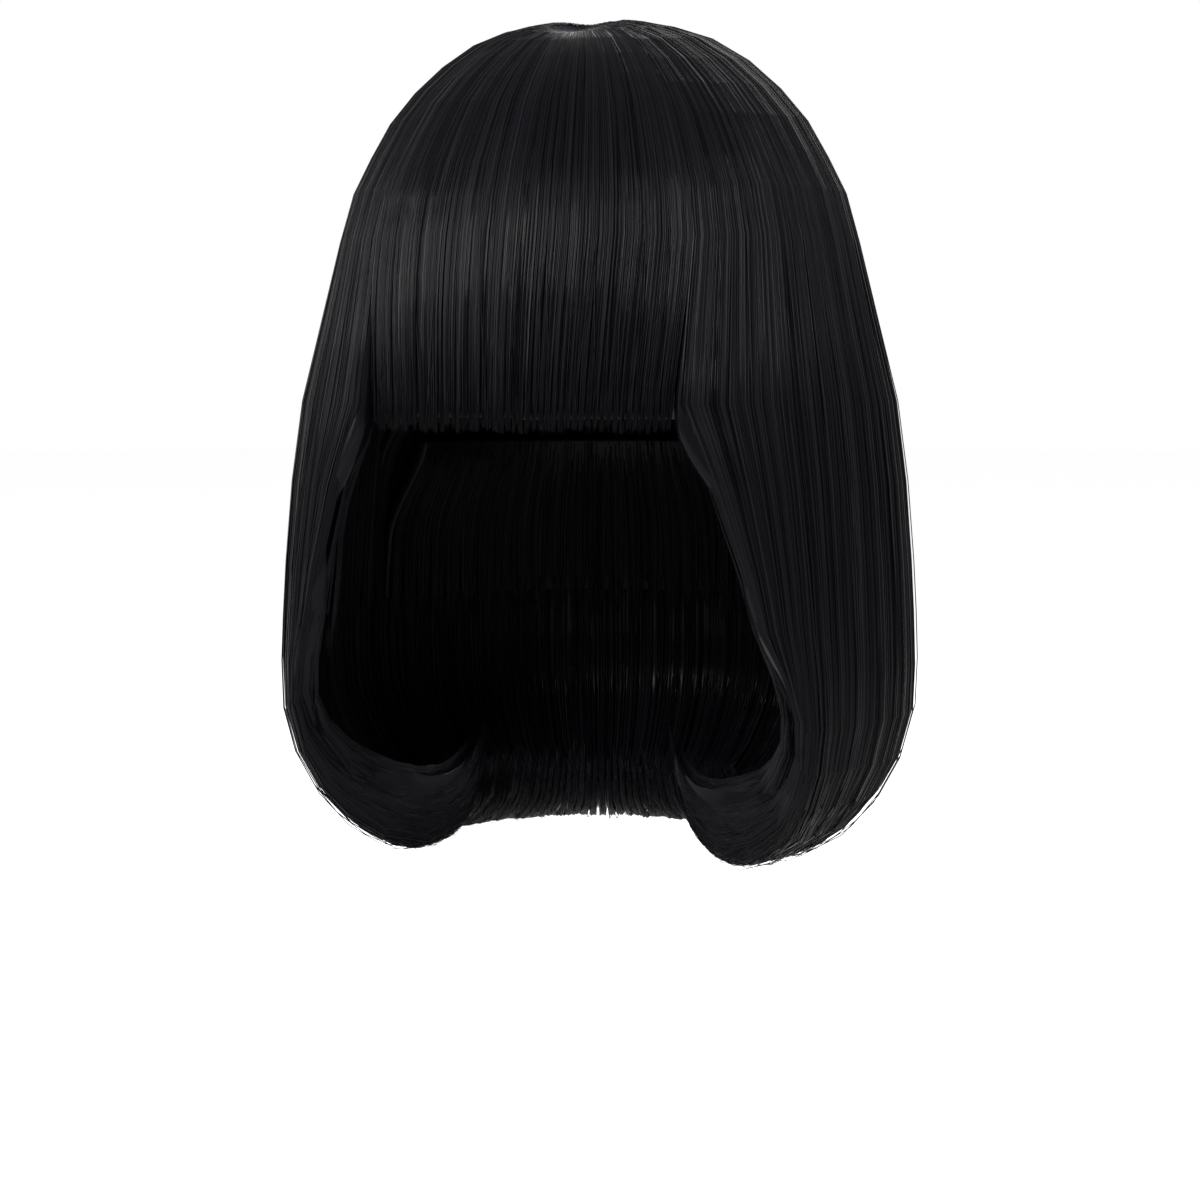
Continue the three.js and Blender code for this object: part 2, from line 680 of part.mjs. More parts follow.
wig.add(...capNet(), crownPatch(), frontBand(), napeBand());
wig.add(tape('tape_back_centre', 0, NAPE_Z + NAPE_BAND_WIDTH + GAP));
for (const [index, side] of SIDES.entries()) {
  const [name, sign] = side;
  wig.add(sideBand(side), earTab(side), adjuster(side));
  wig.add(tape(`tape_back_${name}`, sign * BACK_TAPE_ANGLE, NAPE_Z + NAPE_BAND_WIDTH + GAP));
  wig.add(tape(`tape_side_${name}`, sign * 90, EAR_Z + SIDE_TAPE_RISE));
  wig.add(...sideHair(side));
}
wig.add(fringeTrack(), crownTrack());
for (let row = 0; row < TRACK_ROWS; row++) {
  wig.add(trackRow(row));
}
wig.add(...crownHair(), fringe(), ...backHair());

export default wig;
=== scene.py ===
"""Costume wig: a sleek bob with a blunt fringe and inward-curled ends, on its stretch cap.

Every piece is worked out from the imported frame. Lengths are in metres, +Z is up,
the face looks along -Y, and the origin is the top of the wearer's head.
"""

from __future__ import annotations

import logging
import math
from dataclasses import dataclass
from enum import Enum
from typing import Callable, Sequence

import bpy
import numpy as np
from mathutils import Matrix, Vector

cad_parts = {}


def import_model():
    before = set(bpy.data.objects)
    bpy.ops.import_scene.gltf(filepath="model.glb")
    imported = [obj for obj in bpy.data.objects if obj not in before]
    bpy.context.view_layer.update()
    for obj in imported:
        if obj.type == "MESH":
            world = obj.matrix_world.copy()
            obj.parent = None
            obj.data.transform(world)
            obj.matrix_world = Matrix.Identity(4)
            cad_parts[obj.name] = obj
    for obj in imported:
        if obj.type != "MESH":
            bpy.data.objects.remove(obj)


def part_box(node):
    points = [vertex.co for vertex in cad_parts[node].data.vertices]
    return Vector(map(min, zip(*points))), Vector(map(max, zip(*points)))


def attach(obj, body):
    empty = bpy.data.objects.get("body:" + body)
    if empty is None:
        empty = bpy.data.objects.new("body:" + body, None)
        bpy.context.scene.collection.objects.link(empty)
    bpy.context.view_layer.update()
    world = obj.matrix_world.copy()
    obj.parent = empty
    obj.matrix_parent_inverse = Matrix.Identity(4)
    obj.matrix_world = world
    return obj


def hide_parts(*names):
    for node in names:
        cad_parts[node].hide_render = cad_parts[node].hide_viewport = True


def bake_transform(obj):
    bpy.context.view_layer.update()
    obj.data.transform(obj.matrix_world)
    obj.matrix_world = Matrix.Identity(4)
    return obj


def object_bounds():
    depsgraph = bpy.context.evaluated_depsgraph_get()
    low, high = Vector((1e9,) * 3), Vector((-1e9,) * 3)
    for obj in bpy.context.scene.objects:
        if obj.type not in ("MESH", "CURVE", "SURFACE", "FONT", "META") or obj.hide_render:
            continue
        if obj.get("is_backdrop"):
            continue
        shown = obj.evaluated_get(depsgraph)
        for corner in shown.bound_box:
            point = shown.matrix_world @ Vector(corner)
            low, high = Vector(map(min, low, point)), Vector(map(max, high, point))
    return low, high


LOG = logging.getLogger("wig")
MM = 0.001
Colour = tuple[float, float, float]
Relief = tuple[float, float]
WHORL_HIGHLIGHT_REACH = 8.5 * MM  # how far from the whorl the painted highlight on the roots reaches


# ------------------------------------------------------------------ shader maths


class Shade:
    """One socket of a node tree, with the arithmetic that a pattern needs."""

    def __init__(self, kit: "NodeKit", socket: bpy.types.NodeSocket) -> None:
        self.kit = kit
        self.socket = socket

    def _maths(self, operation: str, *values: "Shade | float") -> "Shade":
        """Add a Math node on these values."""
        return self.kit.node("ShaderNodeMath", {"operation": operation}, dict(enumerate(values)))

    def __add__(self, other: "Shade | float") -> "Shade":
        """Sum."""
        return self._maths("ADD", self, other)

    __radd__ = __add__

    def __mul__(self, other: "Shade | float") -> "Shade":
        """Product."""
        return self._maths("MULTIPLY", self, other)

    __rmul__ = __mul__

    def __sub__(self, other: "Shade | float") -> "Shade":
        """Difference."""
        return self._maths("SUBTRACT", self, other)

    def __rsub__(self, other: "Shade | float") -> "Shade":
        """Difference from a number."""
        return self._maths("SUBTRACT", other, self)

    def absolute(self) -> "Shade":
        """Size without sign."""
        return self._maths("ABSOLUTE", self)

    def sine(self) -> "Shade":
        """Sine of an angle in radians."""
        return self._maths("SINE", self)

    def step_between(self, low: float, high: float) -> "Shade":
        """Go smoothly from 0 at low to 1 at high."""
        return self.kit.node(
            "ShaderNodeMapRange",
            {"interpolation_type": "SMOOTHSTEP"},
            {"Value": self, "From Min": low, "From Max": high},
        )


class NodeKit:
    """Adds nodes to one material's tree."""

    def __init__(self, tree: bpy.types.NodeTree) -> None:
        """Keep the tree."""
        self.tree = tree

    def node(
        self,
        kind: str,
        settings: dict[str, object] | None = None,
        inputs: dict[str | int, object] | None = None,
        output: str | int = 0,
    ) -> Shade:
        """Add a node and return one of its outputs.

        Args:
            kind: the node's type.
            settings: its own properties, set before its sockets.
            inputs: values or other Shades, by socket name or number.
            output: the socket to return.

        Returns:
            That output.
        """
        made = self.tree.nodes.new(kind)
        for name, value in (settings or {}).items():
            setattr(made, name, value)
        for name, value in (inputs or {}).items():
            if isinstance(value, Shade):
                self.tree.links.new(value.socket, made.inputs[name])
            else:
                made.inputs[name].default_value = value
        return Shade(self, made.outputs[output])

    def mix(self, factor: Shade | float, first: object, second: object) -> Shade:
        """Mix two colours by a factor."""
        return self.node(
            "ShaderNodeMix",
            {"data_type": "RGBA"},
            {0: factor, 6: self.colour(first), 7: self.colour(second)},
            output=2,
        )

    @staticmethod
    def colour(value: object) -> object:
        """A Shade as it is, or three numbers with alpha added."""
        return value if isinstance(value, Shade) else (*value, 1.0)

    def noise(self, place: Shade, scale: float, detail: float = 2.0) -> Shade:
        """Cloudy noise from 0 to 1 at a place."""
        return self.node("ShaderNodeTexNoise", {}, {"Vector": place, "Scale": scale, "Detail": detail})

    def stretched(self, place: Shade, scale: tuple[float, float, float]) -> Shade:
        """Scale a place along each axis."""
        return self.node("ShaderNodeMapping", {}, {"Vector": place, "Scale": scale})

    def split(self, place: Shade, axis: int) -> Shade:
        """One coordinate of a place."""
        return self.node("ShaderNodeSeparateXYZ", {}, {0: place}, output=axis)

    def attribute(self, name: str) -> Shade:
        """A number kept on the mesh."""
        return self.node("ShaderNodeAttribute", {"attribute_name": name}, output="Fac")

    def lay(self) -> Shade:
        """The UV map, in metres along and across a piece."""
        return self.node("ShaderNodeUVMap", {"uv_map": "lay"})

    def place(self) -> Shade:
        """The place on the object, in metres."""
        return self.node("ShaderNodeTexCoord", output="Object")

    def link(self, value: Shade, socket: bpy.types.NodeSocket) -> None:
        """Link a Shade to a shader's socket."""
        self.tree.links.new(value.socket, socket)


# ------------------------------------------------------------------ finishes


def new_material(name: str) -> tuple[bpy.types.Material, NodeKit, bpy.types.Node]:
    """Make an empty material with a Principled shader.

    Args:
        name: the material's name.

    Returns:
        The material, a kit on its tree, and its Principled node.
    """
    material = bpy.data.materials.new(name)
    material.use_nodes = True
    tree = material.node_tree
    return material, NodeKit(tree), tree.nodes["Principled BSDF"]


def connect(
    kit: NodeKit,
    shader: bpy.types.Node,
    colour: Shade,
    roughness: Shade,
    height: Shade,
    relief: Relief,
) -> None:
    """Feed a finish's patterns to its shader.

    Args:
        kit: the material's nodes.
        shader: its Principled node.
        colour: base colour.
        roughness: roughness.
        height: height pattern.
        relief: height of the pattern in metres, and the share of it that shows.
    """
    kit.link(colour, shader.inputs["Base Color"])
    kit.link(roughness, shader.inputs["Roughness"])
    depth, strength = relief
    bump = kit.node("ShaderNodeBump", {}, {"Height": height, "Distance": depth, "Strength": strength})
    kit.link(bump, shader.inputs["Normal"])


@dataclass(frozen=True)
class HairFinish:
    """Sleek synthetic fibre: near-black, a little bluer where it catches light."""

    name: str = "hair_fibre"
    deep: Colour = (0.0004, 0.0004, 0.0005)
    bright: Colour = (0.0034, 0.0034, 0.0046)
    # painted highlight: pale grey mixed into the fibre round the whorl, where the roots catch the light
    whorl: Colour = (0.10, 0.108, 0.118)
    roughness: float = 0.27
    fine_spread: float = 0.16
    strand_spread: float = 0.32
    ior: float = 1.11
    streaks: float = 2600.0
    relief: Relief = (0.0003, 0.8)

    def make(self) -> bpy.types.Material:
        """Build the material.

        Returns:
            Fibre whose tone changes from strand to strand and slowly along each, with a painted highlight
            of pale grey on the roots round the whorl.
        """
        material, kit, shader = new_material(self.name)
        lay = kit.lay()
        fine = kit.noise(kit.stretched(lay, (self.streaks, 5.0, 1.0)), 1.0, 3.0)
        broad = kit.noise(kit.stretched(lay, (self.streaks * 0.14, 2.5, 1.0)), 1.0, 2.0)
        tone = kit.attribute("strand_tone")
        # painted highlight: how much grey the roots round the whorl get
        glow = kit.attribute("whorl_glow")
        body = (tone * 0.55 + fine * 0.3 + broad * 0.25).step_between(0.15, 0.95)
        fibre = kit.mix(body, self.deep, self.bright)
        # painted highlight: grey mixed into the fibre round the whorl
        rooted = kit.mix(glow * (0.25 + 0.75 * fine), fibre, self.whorl)
        rough = self.roughness + (fine - 0.5) * self.fine_spread + (tone - 0.5) * self.strand_spread
        shader.inputs["IOR"].default_value = self.ior
        connect(kit, shader, rooted, rough, fine * 0.6 + broad * 0.4, self.relief)
        return material


@dataclass(frozen=True)
class NetFinish:
    """Fine stretch net: dark threads round small holes."""

    name: str = "stretch_net"
    thread: Colour = (0.045, 0.042, 0.047)
    shadow: Colour = (0.014, 0.013, 0.015)
    cells: float = 520.0
    thread_share: float = 0.16
    relief: Relief = (0.0003, 0.7)

    def make(self) -> bpy.types.Material:
        """Build the material.

        Returns:
            Threads that follow the edges of small cells, with holes between them.
        """
        material, kit, shader = new_material(self.name)
        place = kit.place()
        away = kit.node(
            "ShaderNodeTexVoronoi",
            {"feature": "DISTANCE_TO_EDGE"},
            {"Vector": place, "Scale": self.cells, "Randomness": 0.35},
        )
        thread = 1 - away.step_between(self.thread_share * 0.6, self.thread_share * 1.4)
        fuzz = kit.noise(place, 3000.0)
        kit.link(thread, shader.inputs["Alpha"])
        colour = kit.mix(fuzz, self.shadow, self.thread)
        connect(kit, shader, colour, 0.7 + 0.2 * fuzz, thread + fuzz * 0.3, self.relief)
        return material


@dataclass(frozen=True)
class WovenFinish:
    """Matt woven cloth with a row of stitches near each edge."""

    name: str
    threads: float
    softness: float
    ground: Colour = (0.016, 0.016, 0.018)
    worn: Colour = (0.048, 0.046, 0.052)
    stitch: Colour = (0.085, 0.083, 0.09)
    stitch_pitch: float = 0.0026
    relief: Relief = (0.0003, 0.8)

    def make(self) -> bpy.types.Material:
        """Build the material.

        Returns:
            A weave of two crossing waves, with dashes of thread along the edges.
        """
        material, kit, shader = new_material(self.name)
        lay = kit.lay()
        u, v = kit.split(lay, 0), kit.split(lay, 1)
        weave = ((u * self.threads).sine() * (v * self.threads).sine() + 1.0) * 0.5
        edge = kit.attribute("edge")
        row = 1 - (edge - 0.78).absolute().step_between(0.03, 0.07)
        dash = (u * (math.tau / self.stitch_pitch)).sine().step_between(-0.5, -0.1)
        stitch = row * dash
        fuzz = kit.noise(kit.stretched(lay, (900.0, 900.0, 1.0)), 1.0, 3.0)
        cloth = kit.mix(weave * 0.5 + fuzz * 0.4, self.ground, self.worn)
        height = weave * 0.4 + stitch * 0.9 + fuzz * 0.2
        rough = 0.7 + 0.2 * fuzz * self.softness
        connect(kit, shader, kit.mix(stitch, cloth, self.stitch), rough, height, self.relief)
        return material


@dataclass(frozen=True)
class ElasticFinish:
    """Ribbed elastic: ribs run across its length."""

    name: str = "ribbed_elastic"
    low: Colour = (0.016, 0.016, 0.018)
    high: Colour = (0.065, 0.065, 0.07)
    rib_pitch: float = 0.0013
    relief: Relief = (0.0004, 0.8)

    def make(self) -> bpy.types.Material:
        """Build the material.

        Returns:
            Ribs by a sine along the length, with woven fuzz over them.
        """
        material, kit, shader = new_material(self.name)
        lay = kit.lay()
        u, v = kit.split(lay, 0), kit.split(lay, 1)
        rib = ((u * (math.tau / self.rib_pitch)).sine() + 1.0) * 0.5
        thread = ((v * (math.tau / (self.rib_pitch * 0.6))).sine() + 1.0) * 0.5
        fuzz = kit.noise(kit.stretched(lay, (1500.0, 1500.0, 1.0)), 1.0, 2.0)
        colour = kit.mix(rib * 0.6 + fuzz * 0.4, self.low, self.high)
        height = rib * 0.7 + thread * 0.2 + fuzz * 0.2
        connect(kit, shader, colour, 0.75 + 0.15 * fuzz, height, self.relief)
        return material


@dataclass(frozen=True)
class StitchFinish:
    """Folded hair roots bound by three rows of machine stitches."""

    name: str = "weft_stitching"
    ground: Colour = (0.005, 0.005, 0.006)
    thread: Colour = (0.02, 0.02, 0.023)
    stitch_pitch: float = 0.0022
    row_pitch: float = 0.00135
    slant: float = 1500.0
    relief: Relief = (0.0004, 0.8)

    def make(self) -> bpy.types.Material:
        """Build the material.

        Returns:
            Slanting stitches along the row over upright fibre ends.
        """
        material, kit, shader = new_material(self.name)
        lay = kit.lay()
        u, v = kit.split(lay, 0), kit.split(lay, 1)
        slant = (u * (math.tau / self.stitch_pitch) + v * self.slant).sine().step_between(-0.2, 0.5)
        rows = (v * (math.tau / self.row_pitch)).sine().step_between(-0.3, 0.6)
        stitch = slant * rows
        ends = kit.noise(kit.stretched(lay, (4000.0, 150.0, 1.0)), 1.0, 2.0)
        colour = kit.mix(stitch * 0.8 + ends * 0.2, self.ground, self.thread)
        connect(kit, shader, colour, 0.55 + 0.3 * stitch, stitch * 0.8 + ends * 0.4, self.relief)
        return material


@dataclass(frozen=True)
class SkinFinish:
    """Thin matt skin that the whorl's hair is tied into."""

    name: str = "thin_skin"
    pale: Colour = (0.22, 0.215, 0.205)
    dark: Colour = (0.10, 0.098, 0.095)
    knot: Colour = (0.01, 0.01, 0.01)
    relief: Relief = (0.0002, 0.6)

    def make(self) -> bpy.types.Material:
        """Build the material.

        Returns:
            Mottled skin with a dark dot at each knot.
        """
        material, kit, shader = new_material(self.name)
        place = kit.place()
        knot = kit.node("ShaderNodeTexVoronoi", {}, {"Vector": place, "Scale": 900.0, "Randomness": 0.6})
        dot = 1 - knot.step_between(0.15, 0.4)
        mottle = kit.noise(place, 140.0, 3.0)
        skin = kit.mix(mottle, self.dark, self.pale)
        colour = kit.mix(dot, skin, self.knot)
        connect(kit, shader, colour, 0.5 + 0.2 * mottle, mottle * 0.5 + dot * 0.5, self.relief)
        return material


@dataclass(frozen=True)
class PlasticFinish:
    """Small black moulding with a faint grain."""

    name: str = "moulded_plastic"
    dark: Colour = (0.012, 0.012, 0.013)
    scuffed: Colour = (0.035, 0.035, 0.038)
    relief: Relief = (0.0001, 0.5)

    def make(self) -> bpy.types.Material:
        """Build the material.

        Returns:
            Plastic a little paler and rougher in scuffs.
        """
        material, kit, shader = new_material(self.name)
        place = kit.place()
        grain = kit.noise(place, 2500.0, 2.0)
        scuff = kit.noise(place, 400.0, 4.0).step_between(0.5, 0.75)
        colour = kit.mix(scuff, self.dark, self.scuffed)
        connect(kit, shader, colour, 0.32 + 0.25 * scuff + 0.1 * grain, grain, self.relief)
        return material


# ------------------------------------------------------------------ meshes


def grid_faces(rows: int, columns: int, close_rows: bool = False) -> np.ndarray:
    """Quads between neighbouring points of a grid.

    Args:
        rows: points along the first parameter.
        columns: points along the second.
        close_rows: join the last row to the first.

    Returns:
        Point numbers, four to a face.
    """
    last = rows if close_rows else rows - 1
    row, column = np.meshgrid(np.arange(last), np.arange(columns - 1), indexing="ij")
    after = (row + 1) % rows
    corners = (
        row * columns + column,
        row * columns + column + 1,
        after * columns + column + 1,
        after * columns + column,
    )
    return np.stack(corners, axis=-1).reshape(-1, 4)


def make_mesh(
    name: str,
    points: np.ndarray,
    quads: np.ndarray,
    triangles: np.ndarray | None = None,
    floats: dict[str, np.ndarray] | None = None,
    lay: np.ndarray | None = None,
) -> bpy.types.Object:
    """Put whole arrays into a new smooth-shaded mesh object at the origin.

    Args:
        name: the object's name.
        points: places, three numbers each.
        quads: point numbers, four to a face.
        triangles: point numbers, three to a face.
        floats: values by attribute name, one to a point.
        lay: UV coordinates, two numbers to a point.

    Returns:
        The object, linked to the scene.
    """
    threes = np.empty((0, 3), int) if triangles is None else triangles
    corners = np.concatenate([quads.ravel(), threes.ravel()]).astype(np.int32)
    sizes = np.concatenate([np.full(len(quads), 4), np.full(len(threes), 3)]).astype(np.int32)
    mesh = bpy.data.meshes.new(name)
    mesh.vertices.add(len(points))
    mesh.vertices.foreach_set("co", np.ascontiguousarray(points, np.float32).ravel())
    mesh.loops.add(len(corners))
    mesh.loops.foreach_set("vertex_index", corners)
    mesh.polygons.add(len(sizes))
    starts = np.concatenate([[0], np.cumsum(sizes)[:-1]]).astype(np.int32)
    mesh.polygons.foreach_set("loop_start", starts)
    mesh.polygons.foreach_set("use_smooth", np.ones(len(sizes), bool))
    mesh.update(calc_edges=True)
    for attribute, values in (floats or {}).items():
        layer = mesh.attributes.new(attribute, "FLOAT", "POINT")
        layer.data.foreach_set("value", np.asarray(values, np.float32).ravel())
    if lay is not None:
        uv = mesh.uv_layers.new(name="lay")
        uv.data.foreach_set("uv", np.asarray(lay, np.float32)[corners].ravel())
    mesh.validate(clean_customdata=False)
    made = bpy.data.objects.new(name, mesh)
    bpy.context.scene.collection.objects.link(made)
    return made


def enclosed_volume(points: np.ndarray, quads: np.ndarray) -> float:
    """Signed volume inside closed quads: positive where they face outwards."""
    a, b, c, d = (points[quads[:, corner]] for corner in range(4))
    first = np.einsum("ij,ij->i", a, np.cross(b, c))
    second = np.einsum("ij,ij->i", a, np.cross(c, d))
    return float((first + second).sum() / 6)


def closed_sheet(
    name: str,
    outer: np.ndarray,
    inner: np.ndarray,
    floats: dict[str, np.ndarray] | None = None,
) -> bpy.types.Object:
    """Join two facing grids round all four edges into one closed body that faces outwards.

    Each row of the outer grid is followed by the same row of the inner grid backwards,
    which makes a loop. The loops are joined to each other, and the first and last are
    filled in. Its UV map "lay" is the distance in metres along each grid direction.

    Args:
        name: the object's name.
        outer: points of one side, rows by columns by three.
        inner: points of the other side, in the same order.
        floats: values by attribute name, one to an outer point.

    Returns:
        The mesh object.
    """
    rows, columns = outer.shape[:2]
    loops = np.concatenate([outer, inner[:, ::-1]], axis=1)
    around = 2 * columns
    points = loops.reshape(-1, 3)
    begin = np.arange(rows - 1)[:, None] * around
    seam = np.concatenate([begin + around - 1, begin, begin + around, begin + 2 * around - 1], axis=1)
    low = np.arange(columns - 1)[:, None]
    cap = np.concatenate([low, around - 1 - low, around - 2 - low, low + 1], axis=1)
    quads = np.concatenate(
        [grid_faces(rows, around), seam, cap, cap[:, ::-1] + (rows - 1) * around]
    )
    if enclosed_volume(points - points.mean(axis=0), quads) < 0:
        quads = quads[:, ::-1]
    down = np.linalg.norm(np.diff(outer, axis=0), axis=-1).mean(axis=1)
    along = np.linalg.norm(np.diff(outer, axis=1), axis=-1).mean(axis=0)
    u, v = np.meshgrid(
        np.concatenate([[0], np.cumsum(down)]), np.concatenate([[0], np.cumsum(along)]), indexing="ij"
    )
    lay = np.stack([both_sides(u).ravel(), both_sides(v).ravel()], axis=-1)
    spread = {key: both_sides(value) for key, value in (floats or {}).items()}
    return make_mesh(name, points, quads, None, spread, lay)


def both_sides(value: np.ndarray) -> np.ndarray:
    """A value on the outer grid, repeated for the inner grid's points in their order."""
    return np.concatenate([value, value[:, ::-1]], axis=1)


def smooth(value: np.ndarray | float, low: float, high: float) -> np.ndarray:
    """0 below low, 1 above high, and a smooth step between."""
    t = np.clip((np.asarray(value) - low) / (high - low), 0, 1)
    return t * t * (3 - 2 * t)


# ------------------------------------------------------------------ the hair's form


def through(points: Sequence[tuple[float, float]], places: np.ndarray) -> np.ndarray:
    """A smooth curve through points.

    A uniform Catmull-Rom spline: each span is the cubic through its two ends whose
    slope at an end is half the step between that end's neighbours.

    Args:
        points: what it passes through.
        places: where to work it out, from 0 to 1 over the whole curve.

    Returns:
        Two numbers for each place.
    """
    table = np.array(points, float)
    spans = len(table) - 1
    at = np.clip(places, 0, 1) * spans
    index = np.minimum(at.astype(int), spans - 1)
    t = (at - index)[:, None]
    before, start = table[np.maximum(index - 1, 0)], table[index]
    end, after = table[index + 1], table[np.minimum(index + 2, spans)]
    slope_in, slope_out = (end - before) / 2, (after - start) / 2
    cubic = (2 * start - 2 * end + slope_in + slope_out) * t**3
    square = (-3 * start + 3 * end - 2 * slope_in - slope_out) * t**2
    return cubic + square + slope_in * t + start


@dataclass
class HairForm:
    """The outside of the dressed hair, from the whorl over the crown and round the curl.

    A place on it is an angle from straight ahead and a distance along the fall of
    the hair, from 0 in the crown to 1 at the curl's tip.
    """

    half_width: float
    half_depth: float
    drop: float
    hinge_share: float = 0.8125
    whorl: tuple[float, float] = (0.0, -29 * MM)
    whorl_dip: float = 4.5 * MM
    whorl_spread: float = 11 * MM
    parting_depth: float = 1.6 * MM
    parting_width: float = 9 * MM
    parting_reach: float = 0.45
    samples: int = 600

    # Shares of the half width against heights: from the top of the head for the dome,
    # and from the lowest curl for the curl.
    dome: tuple[tuple[float, float], ...] = (
        (0.0, 11.0),
        (0.18, 9.6),
        (0.41, 0.0),
        (0.61, -22.0),
        (0.715, -43.0),
        (0.785, -62.0),
        (0.868, -105.0),
        (0.935, -140.0),
        (0.977, -186.0),
    )
    curl: tuple[tuple[float, float], ...] = (
        (1.0, 78.0),
        (0.985, 52.0),
        (0.93, 34.0),
        (0.84, 17.0),
        (0.72, 5.0),
        (0.6, 0.0),
        (0.48, 5.0),
        (0.4, 18.0),
        (0.375, 36.0),
    )

    def __post_init__(self) -> None:
        """Work out the fall of the hair once, evenly spaced by length."""
        low = [(share, rise - self.drop / MM) for share, rise in self.curl]
        raw = through([*self.dome, *low], np.linspace(0, 1, 4 * self.samples))
        share, height = raw[:, 0], raw[:, 1] * MM
        mean = (self.half_width + self.half_depth) / 2
        step = np.hypot(np.diff(share) * mean, np.diff(height))
        length = np.concatenate([[0], np.cumsum(step)])
        self.length = float(length[-1])
        even = np.linspace(0, self.length, self.samples)
        self.along = even / self.length
        self.share = np.interp(even, length, share)
        self.height = np.interp(even, length, height)
        run = np.gradient(self.share * mean)
        rise = np.gradient(self.height)
        size = np.hypot(run, rise)
        self.normal_out = -rise / size
        self.normal_up = run / size
        self.widest = int(np.argmax(self.share))
        self.lowest = float(self.along[int(np.argmin(self.height))])

    def at_height(self, height: float) -> float:
        """Distance along the fall at which the hair passes a height on its way down."""
        lowest = int(np.argmin(self.height))
        return float(np.interp(-height, -self.height[:lowest], self.along[:lowest]))

    def surface(self, angle: np.ndarray, along: np.ndarray, inset: np.ndarray | float) -> np.ndarray:
        """Points on the form, or inside it.

        Seen from above, a point lies along its angle by the outline's share, plus the
        whorl's offset times the square of what is left of the way to the hinge. Its
        height on the crown is the outline's height at that plan distance, less a dimple
        at the whorl. The inset is then taken off square to the outline.

        Args:
            angle: radians from straight ahead, towards the wearer's left.
            along: distance down the fall, 0 to 1.
            inset: distance inside the outline, in metres.

        Returns:
            Points, with one more axis of three numbers.
        """
        share = np.interp(along, self.along, self.share)
        left = np.clip(1 - share / self.hinge_share, 0, 1) ** 2
        left = np.where(along > self.along[self.widest], 0, left)
        x = share * np.sin(angle) + left * self.whorl[0] / self.half_width
        y = -share * np.cos(angle) + left * self.whorl[1] / self.half_depth
        reach = np.hypot(x, y)
        on_crown = (left > 0) & (reach < self.hinge_share)
        crown_along = np.interp(reach, self.share[: self.widest], self.along[: self.widest])
        place = np.where(on_crown, crown_along, along)
        out = np.interp(place, self.along, self.normal_out)
        up = np.interp(place, self.along, self.normal_up)
        height = np.interp(place, self.along, self.height)
        px, py = x * self.half_width, y * self.half_depth
        dimple = self.whorl_dip * np.exp(-((self.from_whorl(px, py) / self.whorl_spread) ** 2))
        parting = self.parting_depth * np.exp(-((px / self.parting_width) ** 2))
        height = height - dimple - parting * np.exp(-((reach / self.parting_reach) ** 2))
        safe = np.maximum(reach, 1e-6)
        return np.stack(
            [px - inset * out * x / safe, py - inset * out * y / safe, height - inset * up],
            axis=-1,
        )

    def from_whorl(self, x: np.ndarray, y: np.ndarray) -> np.ndarray:
        """Distance seen from above to the whorl."""
        return np.hypot(x - self.whorl[0], y - self.whorl[1])

    def glow(self, points: np.ndarray) -> np.ndarray:
        """Strength of the painted highlight on the roots at some points: a bell curve about the whorl, on
        the crown only.
        """
        pale = np.exp(-((self.from_whorl(points[..., 0], points[..., 1]) / WHORL_HIGHLIGHT_REACH) ** 2))
        return np.where(points[..., 2] > -self.drop / 4, pale, 0)


Limit = Callable[[np.ndarray], np.ndarray]
Pair = tuple[np.ndarray, np.ndarray]


